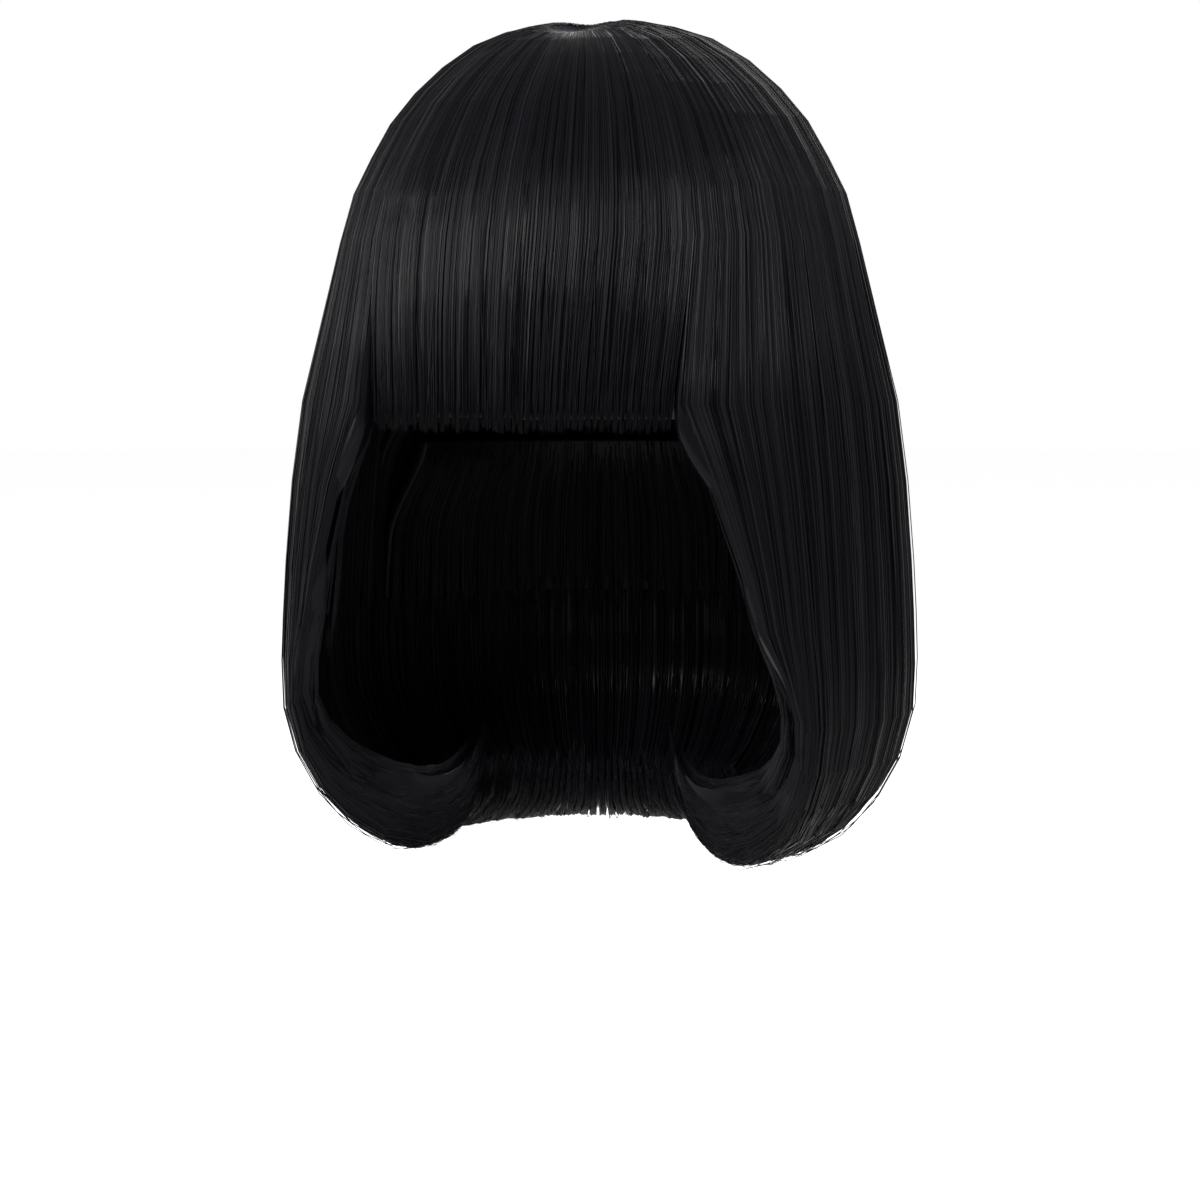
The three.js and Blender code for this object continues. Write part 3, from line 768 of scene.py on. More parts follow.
@dataclass
class Section:
    """A stretch of hair round the head, cut where it meets its neighbours.

    Its front and back limits are angles, and its outside and inside are depths in the
    hair. All four may change down the fall.
    """

    name: str
    body: str
    form: HairForm
    front: Limit
    rear: Limit
    outside: Limit
    inside: Limit
    start: float
    end: float
    cad_nodes: tuple[str, ...]
    strands: int
    layers: int
    inner_strands: int = 0
    sway: Limit | None = None
    tuck: float = 0.0
    lift: float = 0.0
    lift_reach: float = 0.33
    ragged: float = 0.06
    spread_roots: float = 0.025
    wisp: float = 0.03
    pull: float = 0.4
    rings: int = 24
    edge_round: float = 7 * MM
    seam_round: float = 0.3 * MM
    free_between: tuple[float, float] = (-140 * MM, -175 * MM)
    tuck_from: float = -84 * MM
    lift_rise: float = 110 * MM
    hole_share: float = 0.16
    core_fray: tuple[float, float] = (2.2, 0.7)
    core_tip: float = 0.4 * MM
    core_tone: float = 0.35

    def angle(self, across: np.ndarray, along: np.ndarray) -> np.ndarray:
        """Angle of a place from 0 at the front limit to 1 at the rear one.

        The sway of the front edge fades with the fourth power of the way across.
        """
        even = self.front(along) * (1 - across) + self.rear(along) * across
        return even if self.sway is None else even + self.sway(along) * (1 - across) ** 4

    def width(self) -> float:
        """Width at the hair's widest, in metres."""
        at = np.array([self.form.along[self.form.widest]])
        spread = abs(float(self.rear(at)[0] - self.front(at)[0]))
        return spread * (self.form.half_width + self.form.half_depth) / 2

    def fullness(self, across: np.ndarray, along: np.ndarray) -> np.ndarray:
        """How much of its thickness it has: a quarter circle at each side edge.

        The quarter circle is small where a section meets its neighbour, and grows where
        the front edge hangs free.
        """
        free = smooth(along, *(self.form.at_height(height) for height in self.free_between))
        front_round = self.seam_round + (self.edge_round - self.seam_round) * free
        inside = np.clip(across, 0.002, 0.998)
        away = np.minimum(inside / front_round, (1 - inside) / self.seam_round) * self.width()
        return np.sqrt(1 - (1 - np.clip(away, 0, 1)) ** 2)

    def place(self, across: np.ndarray, along: np.ndarray, inset: np.ndarray) -> np.ndarray:
        """Points in the section.

        The inset is drawn to mid thickness at the side edges. Towards its end the hair
        is tucked in. Towards the front limit the curl is lifted, more and more down the
        last part of the fall.

        Args:
            across: 0 at the front limit to 1 at the rear one.
            along: distance down the fall.
            inset: depth in the hair before the edges are rounded.

        Returns:
            Points.
        """
        middle = (self.outside(along) + self.inside(along)) / 2
        depth = middle + (inset - middle) * self.fullness(across, along)
        depth = depth + self.tuck * smooth(along, self.form.at_height(self.tuck_from), self.end) ** 1.3
        points = self.form.surface(self.angle(across, along), along, depth)
        curling = smooth(along, self.form.at_height(-self.form.drop + self.lift_rise), self.form.lowest)
        points[..., 2] += self.lift * (1 - smooth(across, 0.0, self.lift_reach)) * curling
        return points

    def core(self, skin: float = 0.9 * MM, columns: int = 56, rows: int = 72) -> bpy.types.Object:
        """Opaque closed body just inside the strands, thinning out before their tips.

        Args:
            skin: how far it lies inside the strands.
            columns: points across, closer together at the side edges.
            rows: points down the fall.

        Returns:
            The mesh object.
        """
        across = 0.5 - 0.5 * np.cos(np.linspace(0.02, 0.98, columns) * math.pi)
        across = 0.001 + 0.998 * (0.5 * across + 0.5 * np.linspace(0, 1, columns))
        first = max(self.start, self.form.at_height(0.0) * self.hole_share)
        thins, stops = (self.end - share * self.ragged for share in self.core_fray)
        x, s = np.meshgrid(across, np.linspace(first, stops, rows), indexing="ij")
        closing = smooth(s, thins - 0.02, stops)
        middle = (self.outside(s) + self.inside(s)) / 2
        half = (self.inside(s) - self.outside(s)) / 2 - skin
        half = half * (1 - closing) + self.core_tip * closing
        outer = self.place(x, s, middle - half)
        inner = self.place(x, s, middle + half)
        floats = {"strand_tone": np.full(x.shape, self.core_tone), "whorl_glow": self.form.glow(outer)}
        return closed_sheet(f"{self.name}_core", outer, inner, floats)


# ------------------------------------------------------------------ strands


@dataclass
class StrandMaker:
    """Turns fall lines into fine closed prisms that lie like combed fibre."""

    half_width: float = 0.42 * MM
    half_height: float = 0.24 * MM
    wander: float = 0.0005
    crowded: tuple[tuple[float, ...], tuple[float, ...]] = ((0, 0.38, 0.57, 1), (0, 0.3, 0.6, 1))
    own_raggedness: float = 0.55
    wisp_height: float = 0.4 * MM
    sizes: tuple[float, float] = (0.65, 0.7)
    lean: float = 0.9
    root_size: float = 0.35
    root_growth: float = 4.0
    tip_size: float = 0.1
    tip_growth: float = 5.0

    def make(
        self,
        name: str,
        section: Section,
        count: int,
        depth: Callable[[np.ndarray, np.ndarray], np.ndarray],
        seed: int,
        wander: float | None = None,
    ) -> bpy.types.Object:
        """Comb a layer of strands down a section.

        Each strand keeps its place across the section, is drawn towards the middle of
        its wisp by a share that grows with the cube of the way down, and wanders by a
        slow sine. Wisps differ a little in depth and length towards their tips. All
        strands bend at the same places, so that they lie smoothly over each other, and
        the bends are crowded where the hair turns most.

        Args:
            name: the piece's name.
            section: where they lie.
            count: how many.
            depth: depth in metres from random numbers and the way down the fall.
            seed: of the random numbers.
            wander: sideways sway, as a share of the section, if not the usual one.

        Returns:
            The mesh object.
        """
        random = np.random.default_rng(seed)
        across = (np.arange(count) + random.random(count)) / count
        wisps = max(2, int(1 / section.wisp))
        wisp = np.minimum((across * wisps).astype(int), wisps - 1)
        centre = (wisp + 0.5) / wisps
        wisp_depth = random.normal(0, 1, wisps)[wisp][:, None]
        own, shared = random.random(count) ** 2, random.random(wisps)[wisp]
        shorter = section.ragged * (self.own_raggedness * own + (1 - self.own_raggedness) * shared)
        start = section.start + section.spread_roots * random.random(count) ** 2
        finish = section.end - shorter
        even = np.linspace(0, 1, section.rings)[None, :]
        t = even
        if section.end > section.form.lowest:
            t = np.interp(even, *self.crowded)
        along = section.start + (section.end - section.start) * t
        along = along + (start - section.start)[:, None] * (1 - smooth(even, 0, 3 / section.rings))
        along = along + (finish - section.end)[:, None] * smooth(even, 0.7, 1)
        pull = section.pull * t**3
        phase, speed = random.random((2, count, 1))
        sway = (self.wander if wander is None else wander) * np.sin(math.tau * (t * (0.6 + speed) + phase))
        spot = across[:, None] * (1 - pull) + centre[:, None] * pull + sway * t
        spot = np.clip(spot, -0.002, 1.002)
        inset = depth(random.random((count, 1)), along) + wisp_depth * self.wisp_height * t**2
        points = section.place(spot, along, inset)
        outward = points - section.place(spot, along, inset + 1 * MM)
        return self.sweep(name, section.form, points, unit(outward), t, random)

    def sweep(
        self,
        name: str,
        form: HairForm,
        points: np.ndarray,
        outward: np.ndarray,
        t: np.ndarray,
        random: np.random.Generator,
    ) -> bpy.types.Object:
        """Carry a flat triangle along each line, thinner at both ends.

        Args:
            name: the piece's name.
            form: the hair's form, for lengths and the whorl.
            points: strands by rings by three.
            outward: the way out of the hair at each point.
            t: way down each strand, 0 to 1.
            random: source of widths, leans and tones.

        Returns:
            The mesh object.
        """
        count, rings = points.shape[:2]
        side = unit(np.cross(unit(np.gradient(points, axis=1)), outward))
        fade = np.minimum(1, self.root_size + t * self.root_growth)
        fade = fade * np.minimum(1, self.tip_size + (1 - t) * self.tip_growth)
        size = (self.sizes[0] + self.sizes[1] * random.random((count, 1))) * fade
        lean = random.uniform(-self.lean, self.lean, (count, 1))
        turn = lean[..., None] + np.array([math.pi / 2, math.pi * 7 / 6, math.pi * 11 / 6])
        wide = (self.half_width * size[..., None] * np.cos(turn))[..., None]
        high = (self.half_height * size[..., None] * np.sin(turn))[..., None]
        corners = points[:, :, None] + side[:, :, None] * wide + outward[:, :, None] * high
        begin = (np.arange(count) * rings * 3)[:, None, None]
        row = np.arange(rings - 1)[None, :, None] * 3
        corner = np.arange(3)[None, None, :]
        after = (corner + 1) % 3
        quads = np.stack(
            [begin + row + corner, begin + row + after, begin + row + 3 + after, begin + row + 3 + corner],
            axis=-1,
        ).reshape(-1, 4)
        root = begin[:, 0] + np.array([[2, 1, 0]])
        tip = begin[:, 0] + (rings - 1) * 3 + np.array([[0, 1, 2]])
        tone = np.repeat(random.random(count), rings * 3)
        flat = corners.reshape(-1, 3)
        way = np.repeat(np.broadcast_to(t, (count, rings)).ravel(), 3) * form.length
        return make_mesh(
            name,
            flat,
            quads,
            np.concatenate([root, tip]),
            {"strand_tone": tone, "whorl_glow": form.glow(flat)},
            np.stack([tone, way], axis=-1),
        )


def unit(vectors: np.ndarray) -> np.ndarray:
    """Vectors of length one."""
    return vectors / (np.linalg.norm(vectors, axis=-1, keepdims=True) + 1e-12)


# ------------------------------------------------------------------ dressed hair


class Side(Enum):
    """A side of the wearer's head, as the sign of X."""

    LEFT = 1
    RIGHT = -1

    @property
    def word(self) -> str:
        """The side's name."""
        return self.name.lower()


@dataclass
class Hair:
    """All the hair: an opaque core for each section, and strands combed over it."""

    form: HairForm
    finish: bpy.types.Material
    under_finish: bpy.types.Material
    fringe_half: float
    fringe_end: float
    hinge: float
    rear_y: float
    curtain: float = 8.5 * MM
    root_thickness: float = 3 * MM
    curl_thickness: float = 16 * MM
    tip_thickness: float = 6 * MM
    curl_rise: float = 78 * MM
    under_thickness: float = 8 * MM
    layer_gap: float = 0.6 * MM
    root_room: float = 14 * MM
    side_under_top: float = -104 * MM
    back_under_top: float = -128 * MM
    nape_top: float = -154 * MM
    cheek_swing: float = math.radians(13)
    curl_swing: float = math.radians(17)
    tip_swing: float = math.radians(16)
    blend_reach: float = 40 * MM
    parting_gap: float = math.radians(0.1)
    under_set_back: float = math.radians(7)
    weft_reach: float = 45 * MM
    outer_depth: tuple[float, float] = (0.05 * MM, 1.0 * MM)
    inner_depth: tuple[float, float] = (0.1 * MM, 1.1 * MM)
    stray_height: tuple[float, float] = (0.4 * MM, 3.2 * MM)
    flyaways: int = 45

    def thickness(self, along: np.ndarray) -> np.ndarray:
        """Depth of the outer hair: thin at the whorl, even down the sides, full in the curl."""
        lowest = self.form.lowest
        curl = self.form.at_height(-self.form.drop + self.curl_rise)
        crown = np.clip(along / self.form.at_height(self.hinge), 0, 1)
        even = self.root_thickness + (self.curtain - self.root_thickness) * crown
        full = smooth(along, curl, lowest) * (self.curl_thickness - self.curtain)
        thin = smooth(along, lowest, 1) * (self.curl_thickness - self.tip_thickness)
        return even + full - thin

    def fringe_edge(self, along: np.ndarray) -> np.ndarray:
        """Angle of the fringe's side edge: radial on the crown, then straight down."""
        share = np.maximum(np.interp(along, self.form.along, self.form.share), self.form.hinge_share)
        return np.arcsin(self.fringe_half / (self.form.half_width * share))

    def lock_sway(self, along: np.ndarray) -> np.ndarray:
        """Angle by which the side hair's front edge swings away from the line of the fringe.

        It follows the fringe to its end, then swings back at the cheek, further back
        above the curl, and forward again as the curl turns in.
        """
        start = self.form.at_height(-self.fringe_end + 6 * MM)
        cheek = self.form.at_height(-self.fringe_end - 46 * MM)
        low = self.form.at_height(-self.form.drop + self.curl_rise)
        back = smooth(along, start, cheek) * self.cheek_swing
        back = back + smooth(along, cheek, (low + self.form.lowest) / 2) * self.curl_swing
        return back - smooth(along, low, 1.0) * self.tip_swing

    def split(self, along: np.ndarray) -> np.ndarray:
        """Angle where side hair meets back hair."""
        return np.full(np.shape(along), math.pi / 2 + math.asin(self.rear_y / self.form.half_depth))

    def sections(self) -> list[Section]:
        """Every section, from the fringe round to the nape."""
        made = [self.fringe()]
        for side in Side:
            made += [self.side_section(side), self.side_under(side)]
        return [*made, self.back(), *self.back_under()]

    def outer(
        self, name: str, nodes: tuple[str, ...], limits: tuple[Limit, Limit], **more: object
    ) -> Section:
        """A section of outer hair, from the whorl down.

        Args:
            name: its name, and its body's.
            nodes: CAD nodes that it stands for.
            limits: its front and rear angles.
            more: other values of the section.

        Returns:
            The section.
        """
        front, rear = limits
        return Section(
            name=name,
            body=name,
            form=self.form,
            front=front,
            rear=rear,
            outside=lambda s: np.zeros(np.shape(s)),
            inside=self.thickness,
            start=0.0,
            cad_nodes=nodes,
            layers=2,
            **more,
        )

    def fringe(self) -> Section:
        """The blunt fringe and the crown above it."""
        return self.outer(
            "fringe",
            ("hair_fringe", "hair_crown_front"),
            (
                lambda s: -self.fringe_edge(s) + self.parting_gap,
                lambda s: self.fringe_edge(s) - self.parting_gap,
            ),
            end=self.form.at_height(-self.fringe_end),
            strands=1350,
            inner_strands=400,
            ragged=0.02,
            wisp=0.02,
            pull=0.3,
            rings=16,
            tuck=7 * MM,
        )

    def side_section(self, side: Side) -> Section:
        """The hair in front of and over one ear, with the crown above it."""
        sign = side.value
        return self.outer(
            f"side_{side.word}",
            tuple(f"hair_{part}_{side.word}" for part in ("temple", "side", "crown")),
            (
                lambda s: sign * (self.fringe_edge(s) + self.parting_gap),
                lambda s: sign * (self.split(s) - self.parting_gap),
            ),
            sway=lambda s: sign * self.lock_sway(s),
            end=1.0,
            strands=1280,
            inner_strands=440,
            lift=20 * MM,
        )

    def back(self) -> Section:
        """The hair down the back, from behind one ear to behind the other."""
        return self.outer(
            "back",
            ("hair_back_left", "hair_back_centre", "hair_back_right", "hair_crown_back"),
            self.back_limits(),
            end=1.0,
            strands=1400,
            inner_strands=520,
            wisp=0.02,
            edge_round=0.3 * MM,
        )

    def back_limits(self) -> tuple[Limit, Limit]:
        """Front and rear angles of everything at the back."""
        return (
            lambda s: self.split(s) + self.parting_gap,
            lambda s: math.tau - self.split(s) - self.parting_gap,
        )

    def rooted(self, start: float, depth: float) -> Limit:
        """Depth of an under layer, which starts further in, at the weft it is sewn to."""
        reach = self.weft_reach / self.form.length
        return lambda s: depth + self.root_room * (1 - smooth(s, start, start + reach))

    def under(self, name: str, node: str, top: float, number: int, **more: object) -> Section:
        """A shorter layer under the outer hair, as far down as the curl.

        Args:
            name: its name.
            node: the CAD node that it stands for.
            top: height of its weft.
            number: how many other layers lie over it, below the outer hair.
            more: other values of the section.

        Returns:
            The section.
        """
        start = self.form.at_height(top)
        depth = self.curtain + self.layer_gap + number * (self.under_thickness + self.layer_gap)
        return Section(
            name=name,
            form=self.form,
            outside=self.rooted(start, depth),
            inside=self.rooted(start, depth + self.under_thickness),
            start=start,
            end=self.form.at_height(-self.form.drop + self.curl_rise),
            cad_nodes=(node,),
            strands=0,
            layers=0,
            pull=0.55,
            spread_roots=0.03,
            **more,
        )

    def side_under(self, side: Side) -> Section:
        """Shorter hair under one side."""
        sign = side.value
        return self.under(
            f"side_under_{side.word}",
            f"hair_side_under_{side.word}",
            self.side_under_top,
            0,
            body=f"side_{side.word}",
            front=lambda s: sign * (self.fringe_edge(s) + self.under_set_back),
            sway=lambda s: sign * self.lock_sway(s),
            rear=lambda s: sign * (self.split(s) - self.parting_gap),
            inner_strands=420,
            rings=12,
        )

    def back_under(self) -> list[Section]:
        """Two shorter layers under the back."""
        front, rear = self.back_limits()
        layers = (("back_under", self.back_under_top), ("nape", self.nape_top))
        return [
            self.under(
                name,
                f"hair_{name}",
                top,
                number,
                body="back",
                front=front,
                rear=rear,
                inner_strands=600,
                rings=11,
            )
            for number, (name, top) in enumerate(layers)
        ]

    def build(self) -> None:
        """Make every section."""
        for number, section in enumerate(self.sections()):
            self.dress_section(StrandMaker(), section, number)

    def dress_section(self, maker: StrandMaker, section: Section, number: int) -> None:
        """Make a section's core, strands and flyaways.

        Args:
            maker: makes the strands.
            section: the section.
            number: its number, for its seeds.
        """
        under = section.layers == 0
        made = [section.core()]
        sunk, raised = self.stray_height

        def inside_depth(random: np.ndarray, along: np.ndarray) -> np.ndarray:
            """Depth of a strand on the inside."""
            return section.inside(along) - self.inner_depth[0] - random * self.inner_depth[1]

        def stray_depth(random: np.ndarray, along: np.ndarray) -> np.ndarray:
            """Depth of a flyaway: it rises out of the hair on the way down."""
            return sunk - raised * random**2 * smooth(along, 0.1, 0.75)

        for layer in range(section.layers):
            made.append(
                maker.make(
                    f"{section.name}_strands_{layer + 1}",
                    section,
                    section.strands,
                    lambda random, along: self.outer_depth[0] + random**1.3 * self.outer_depth[1],
                    100 * number + layer,
                )
            )
        made.append(
            maker.make(
                f"{section.name}_inner_strands",
                section,
                section.inner_strands,
                inside_depth,
                100 * number + 50,
            )
        )
        if not under:
            made.append(
                maker.make(
                    f"{section.name}_flyaways",
                    section,
                    self.flyaways,
                    stray_depth,
                    100 * number + 70,
                    wander=0.02,
                )
            )
        for piece in made:
            dress(piece, self.under_finish if under else self.finish)
            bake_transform(piece)
        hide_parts(*section.cad_nodes)
        LOG.info("%s: %d pieces", section.name, len(made))


def dress(piece: bpy.types.Object, material: bpy.types.Material) -> bpy.types.Object:
    """Give a piece one material.

    Args:
        piece: the piece.
        material: its finish.

    Returns:
        The piece.
    """
    piece.data.materials.clear()
    piece.data.materials.append(material)
    return piece


# ------------------------------------------------------------------ cap


@dataclass
class HeadForm:
    """The head-shaped dome that the cap is stretched over, and the edge it is cut to."""

    half_width: float
    half_depth: float
    crown_height: float = 85 * MM
    nape_height: float = 130 * MM
    whorl_y: float = -29 * MM
    forehead_z: float = -62 * MM
    temple: tuple[float, float] = (-46 * MM, -78 * MM)
    ear: tuple[float, float] = (-16 * MM, -84 * MM)
    nape: tuple[float, float] = (48 * MM, -150 * MM)

    def sizes(self, z: np.ndarray, outset: float) -> tuple[np.ndarray, np.ndarray]:
        """Half width and half depth at a height, a distance outside the inside of the cap.

        Above the widest level the dome is an ellipsoid, and below it another, taller one.

        Args:
            z: height.
            outset: distance outwards.

        Returns:
            Half width and half depth.
        """
        up = (np.asarray(z) + self.crown_height) / (self.crown_height + outset)
        down = (np.asarray(z) + self.crown_height) / self.nape_height
        share = np.sqrt(np.maximum(0, 1 - np.where(up > 0, up, down) ** 2))
        return (self.half_width + outset) * share, (self.half_depth + outset) * share

    def ring(self, turn: np.ndarray, z: np.ndarray, outset: float) -> np.ndarray:
        """Points at a height: across by the sine of the turn, and back by minus its cosine."""
        wide, deep = self.sizes(z, outset)
        return np.stack([wide * np.sin(turn), -deep * np.cos(turn), z + 0 * turn], axis=-1)

    def top(self, x: np.ndarray, y: np.ndarray, outset: float) -> np.ndarray:
        """Points of the dome above places seen from above."""
        wide, deep = self.half_width + outset, self.half_depth + outset
        rise = np.sqrt(np.maximum(0, 1 - (x / wide) ** 2 - (y / deep) ** 2))
        return np.stack([x, y, (self.crown_height + outset) * rise - self.crown_height], axis=-1)

    def reach(self, foot: Pair, way: Pair, z: np.ndarray, outset: float) -> np.ndarray:
        """Level distance from a place to the dome: the larger root of the ellipse's quadratic.

        Args:
            foot: where it starts.
            way: direction of length one.
            z: height.
            outset: distance outside the inside of the cap.

        Returns:
            The distance.
        """
        wide, deep = self.sizes(z, outset)
        a = (way[0] / wide) ** 2 + (way[1] / deep) ** 2
        b = foot[0] * way[0] / wide**2 + foot[1] * way[1] / deep**2
        c = (foot[0] / wide) ** 2 + (foot[1] / deep) ** 2 - 1
        return (np.sqrt(np.maximum(b * b - a * c, 0)) - b) / a

    def turn_at(self, y: np.ndarray | float, z: np.ndarray, outset: float = 0.0) -> np.ndarray:
        """Turn from straight ahead at which the dome passes a distance back."""
        return np.arccos(np.clip(-np.asarray(y) / self.sizes(z, outset)[1], -1, 1))

    def low_edge(self, y: np.ndarray) -> np.ndarray:
        """Height of the cap's edge at a distance back from the ear-to-ear plane."""
        places, heights = zip(self.temple, self.ear, self.nape, strict=True)
        return np.where(y < places[0], self.forehead_z, np.interp(y, places, heights))


@dataclass
class Cap:
    """The stretch cap: net, ribbons, elastics, wefts, skin patch, ear tabs and adjusters."""

    head: HeadForm
    ribbon: float = 1.2 * MM
    net: float = 0.8 * MM
    track: float = 1.8 * MM
    gap: float = 0.3 * MM
    patch: tuple[float, float] = (24 * MM, 28 * MM)
    crown_track: tuple[float, float] = (34 * MM, 38 * MM)
    tape_width: float = 12 * MM
    tape_top: float = -24 * MM
    back_tape_angle: float = 38.0
    band_rise: float = 13 * MM * math.sqrt(2)
    ear_tab_rounding: float = 8.8 * MM
    temple_band_rise: float = 13 * MM
    ear_tab_half: float = 11 * MM
    ear_tab_thickness: float = 1.5 * MM
    net_seam: float = 0.2  # degrees that a net panel stops short of its neighbour
    net_top: float = -30 * MM  # no panel's edge is higher than this
    crown_spacing: float = 1.25  # how much wider apart a net's points lie on the crown
    patch_hole: float = 0.4 * MM
    weft_rows: int = 6
    net_columns: int = 24
    side_tape_angle: float = 90.0
    band_steps: int = 81
    side_band_steps: int = 91
    track_steps: int = 141
    net_panels: tuple[tuple[str, float, float], ...] = (
        ("front", -45, 45),
        ("left", 45, 135),
        ("back_left", 135, 180),
        ("back_right", 180, 225),
        ("right", 225, 315),
    )

    def __post_init__(self) -> None:
        """Make the finishes."""
        self.finishes = {
            "cap_net": NetFinish().make(),
            "ribbon": WovenFinish("woven_ribbon", 2600.0, 0.5).make(),
            "ear_tab": WovenFinish("soft_tab", 1900.0, 0.8).make(),
            "elastic": ElasticFinish().make(),
            "weft_track": StitchFinish().make(),
            "skin_patch": SkinFinish().make(),
            "hook": PlasticFinish().make(),
        }

    def build(self) -> None:
        """Make every piece of the cap."""
        self.make_net()
        self.make_patch()
        self.make_bands()
        self.make_tapes()
        self.make_tracks()
        for side in Side:
            self.make_ear_tab(side)
            self.make_adjuster(side)
        LOG.info("cap: done")

    def add(
        self,
        name: str,
        nodes: Sequence[str],
        slot: str,
        shape: Callable[[float], np.ndarray],
        insets: tuple[float, float],
        flat: tuple[float, float] | None = None,
        area: float | None = None,
    ) -> bpy.types.Object:
        """Make a thin piece of the cap from a shape at two distances outside the head.

        Args:
            name: the piece's name.
            nodes: CAD nodes that it stands for.
            slot: the finish.
            shape: gives a grid of points for a distance outwards.
            insets: inner and outer distances.
            flat: the size it was cut to, if it is a sheet of cloth; not used.
            area: its flat area where the cut isn't a rectangle; not used.

        Returns:
            The piece.
        """
        outer = shape(insets[1])
        steps = np.linspace(-1, 1, outer.shape[1])[None, :] * np.ones((outer.shape[0], 1))
        made = closed_sheet(name, outer, shape(insets[0]), {"edge": np.abs(steps)})
        dress(made, self.finishes[slot])
        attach(made, "cap")
        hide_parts(*nodes)
        return made

    def make_net(self) -> None:
        """Net panels, from the skin patch out and down to the edge."""
        inside = self.ribbon + self.gap
        for word, start, stop in self.net_panels:
            name = f"cap_net_{word}"
            columns = max(self.net_columns, int(stop - start) // 2)
            turn = np.radians(np.linspace(start + self.net_seam, stop - self.net_seam, columns))
            outer = self.net_grid(turn, inside + self.net)
            down = np.linalg.norm(np.diff(outer, axis=1), axis=-1).sum(axis=1)
            across = np.linalg.norm(np.diff(outer, axis=0), axis=-1).sum(axis=0)
            width, length = float(across.max()), float(down.max())
            self.add(
                f"net_{word}",
                (name,),
                "cap_net",
                lambda outset, turn=turn: self.net_grid(turn, outset),
                (inside, inside + self.net),
                flat=(width, length),
                area=min(grid_area(outer), width * length),
            )

    def net_grid(self, turn: np.ndarray, outset: float, steps: int = 44) -> np.ndarray:
        """Grid of a net panel: straight out from the whorl seen from above, then straight down.

        Args:
            turn: directions from the whorl.
            outset: distance outside the inside of the cap.
            steps: points from the patch to the edge.

        Returns:
            Points, one row to a direction.
        """
        head = self.head
        level = -head.crown_height
        way = (np.sin(turn)[:, None], -np.cos(turn)[:, None])
        foot = (0.0, head.whorl_y)
        at_widest = head.reach(foot, way, np.array([[level]]), outset)
        x, y = at_widest * way[0], head.whorl_y + at_widest * way[1]
        bearing = np.arctan2(x / (head.half_width + outset), -y / (head.half_depth + outset))
        z = np.linspace(self.net_top, head.nape[1], 300)[None, :]
        above = head.whorl_y + head.reach(foot, way, np.maximum(z, level), outset) * way[1]
        below = -head.sizes(z, outset)[1] * np.cos(bearing)
        past = z <= head.low_edge(np.where(z > level, above, below))
        edge = np.where(past.any(axis=1), z[0, past.argmax(axis=1)], head.nape[1])[:, None]
        start = 1 / np.hypot(way[0] / (self.patch[0] + self.gap), way[1] / (self.patch[1] + self.gap))
        end = head.reach(foot, way, np.maximum(edge, level), outset)
        fall = np.maximum(0, level - edge)
        run = (end - start) * self.crown_spacing
        share = run / (run + fall)
        v = np.linspace(0, 1, steps)[None, :]
        out = start + (end - start) * np.sin(np.clip(v / share, 0, 1) * math.pi / 2)
        upper = head.top(out * way[0], head.whorl_y + out * way[1], outset)
        low_z = level - fall * np.clip((v - share) / np.maximum(1 - share, 1e-6), 0, 1)
        lower = head.ring(bearing + 0 * v, low_z, outset)
        return np.where((v > share)[..., None], lower, upper)

    def disc(self, inner: tuple[float, float], outer: tuple[float, float], outset: float) -> np.ndarray:
        """Ring or disc on the dome round the whorl."""
        turn = np.linspace(0, math.tau, 97)[:, None]
        share = np.linspace(0, 1, 14)[None, :]
        wide = inner[0] + (outer[0] - inner[0]) * share
        deep = inner[1] + (outer[1] - inner[1]) * share
        return self.head.top(wide * np.sin(turn), self.head.whorl_y - deep * np.cos(turn), outset)

    def make_patch(self) -> None:
        """Thin skin that the whorl is tied into."""
        outside = self.ribbon + self.gap + self.net
        self.add(
            "skin_patch",
            ("crown_patch",),
            "skin_patch",
            lambda outset: self.disc((self.patch_hole, self.patch_hole), self.patch, outset),
            (self.ribbon / 2, outside),
        )

    def band(self, low: np.ndarray, high: np.ndarray, turn: Callable[[np.ndarray], np.ndarray]) -> Callable:
        """A band's grid between two edge heights: its turn at each height comes from a function."""
        v = np.linspace(0, 1, 9)[None, :]
        z = low[:, None] + (high - low)[:, None] * v

        def shape(outset: float) -> np.ndarray:
            """The band at a distance outwards."""
            return self.head.ring(turn(z), z, outset)

        return shape

    def make_bands(self) -> None:
        """Ribbons along the forehead and over the ears, and elastic along the nape."""
        head = self.head
        steps = self.band_steps
        u = np.linspace(-1, 1, steps)[:, None]
        low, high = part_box("front_band")
        span = self.band(
            np.full(steps, low[2]), np.full(steps, high[2]), lambda z: u * head.turn_at(high[1], z)
        )
        self.add("forehead_ribbon", ("front_band",), "ribbon", span, (0, self.ribbon), **cut(span))
        low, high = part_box("nape_band")
        span = self.band(
            np.full(steps, low[2]),
            np.full(steps, high[2]),
            lambda z: math.pi + u * (math.pi - head.turn_at(low[1], z)),
        )
        self.add("nape_elastic", ("nape_band",), "elastic", span, (0, self.ribbon), **cut(span))
        y = np.linspace(head.temple[0] + self.gap, head.nape[0], self.side_band_steps)
        places = (head.temple[0], head.ear[0], head.nape[0])
        rises = (self.temple_band_rise, self.band_rise, self.band_rise)
        edge = head.low_edge(y)
        for side in Side:
            span = self.band(
                edge, edge + np.interp(y, places, rises), lambda z: side.value * head.turn_at(y[:, None], z)
            )
            name = f"side_band_{side.word}"
            self.add(f"ear_ribbon_{side.word}", (name,), "ribbon", span, (0, self.ribbon), **cut(span))

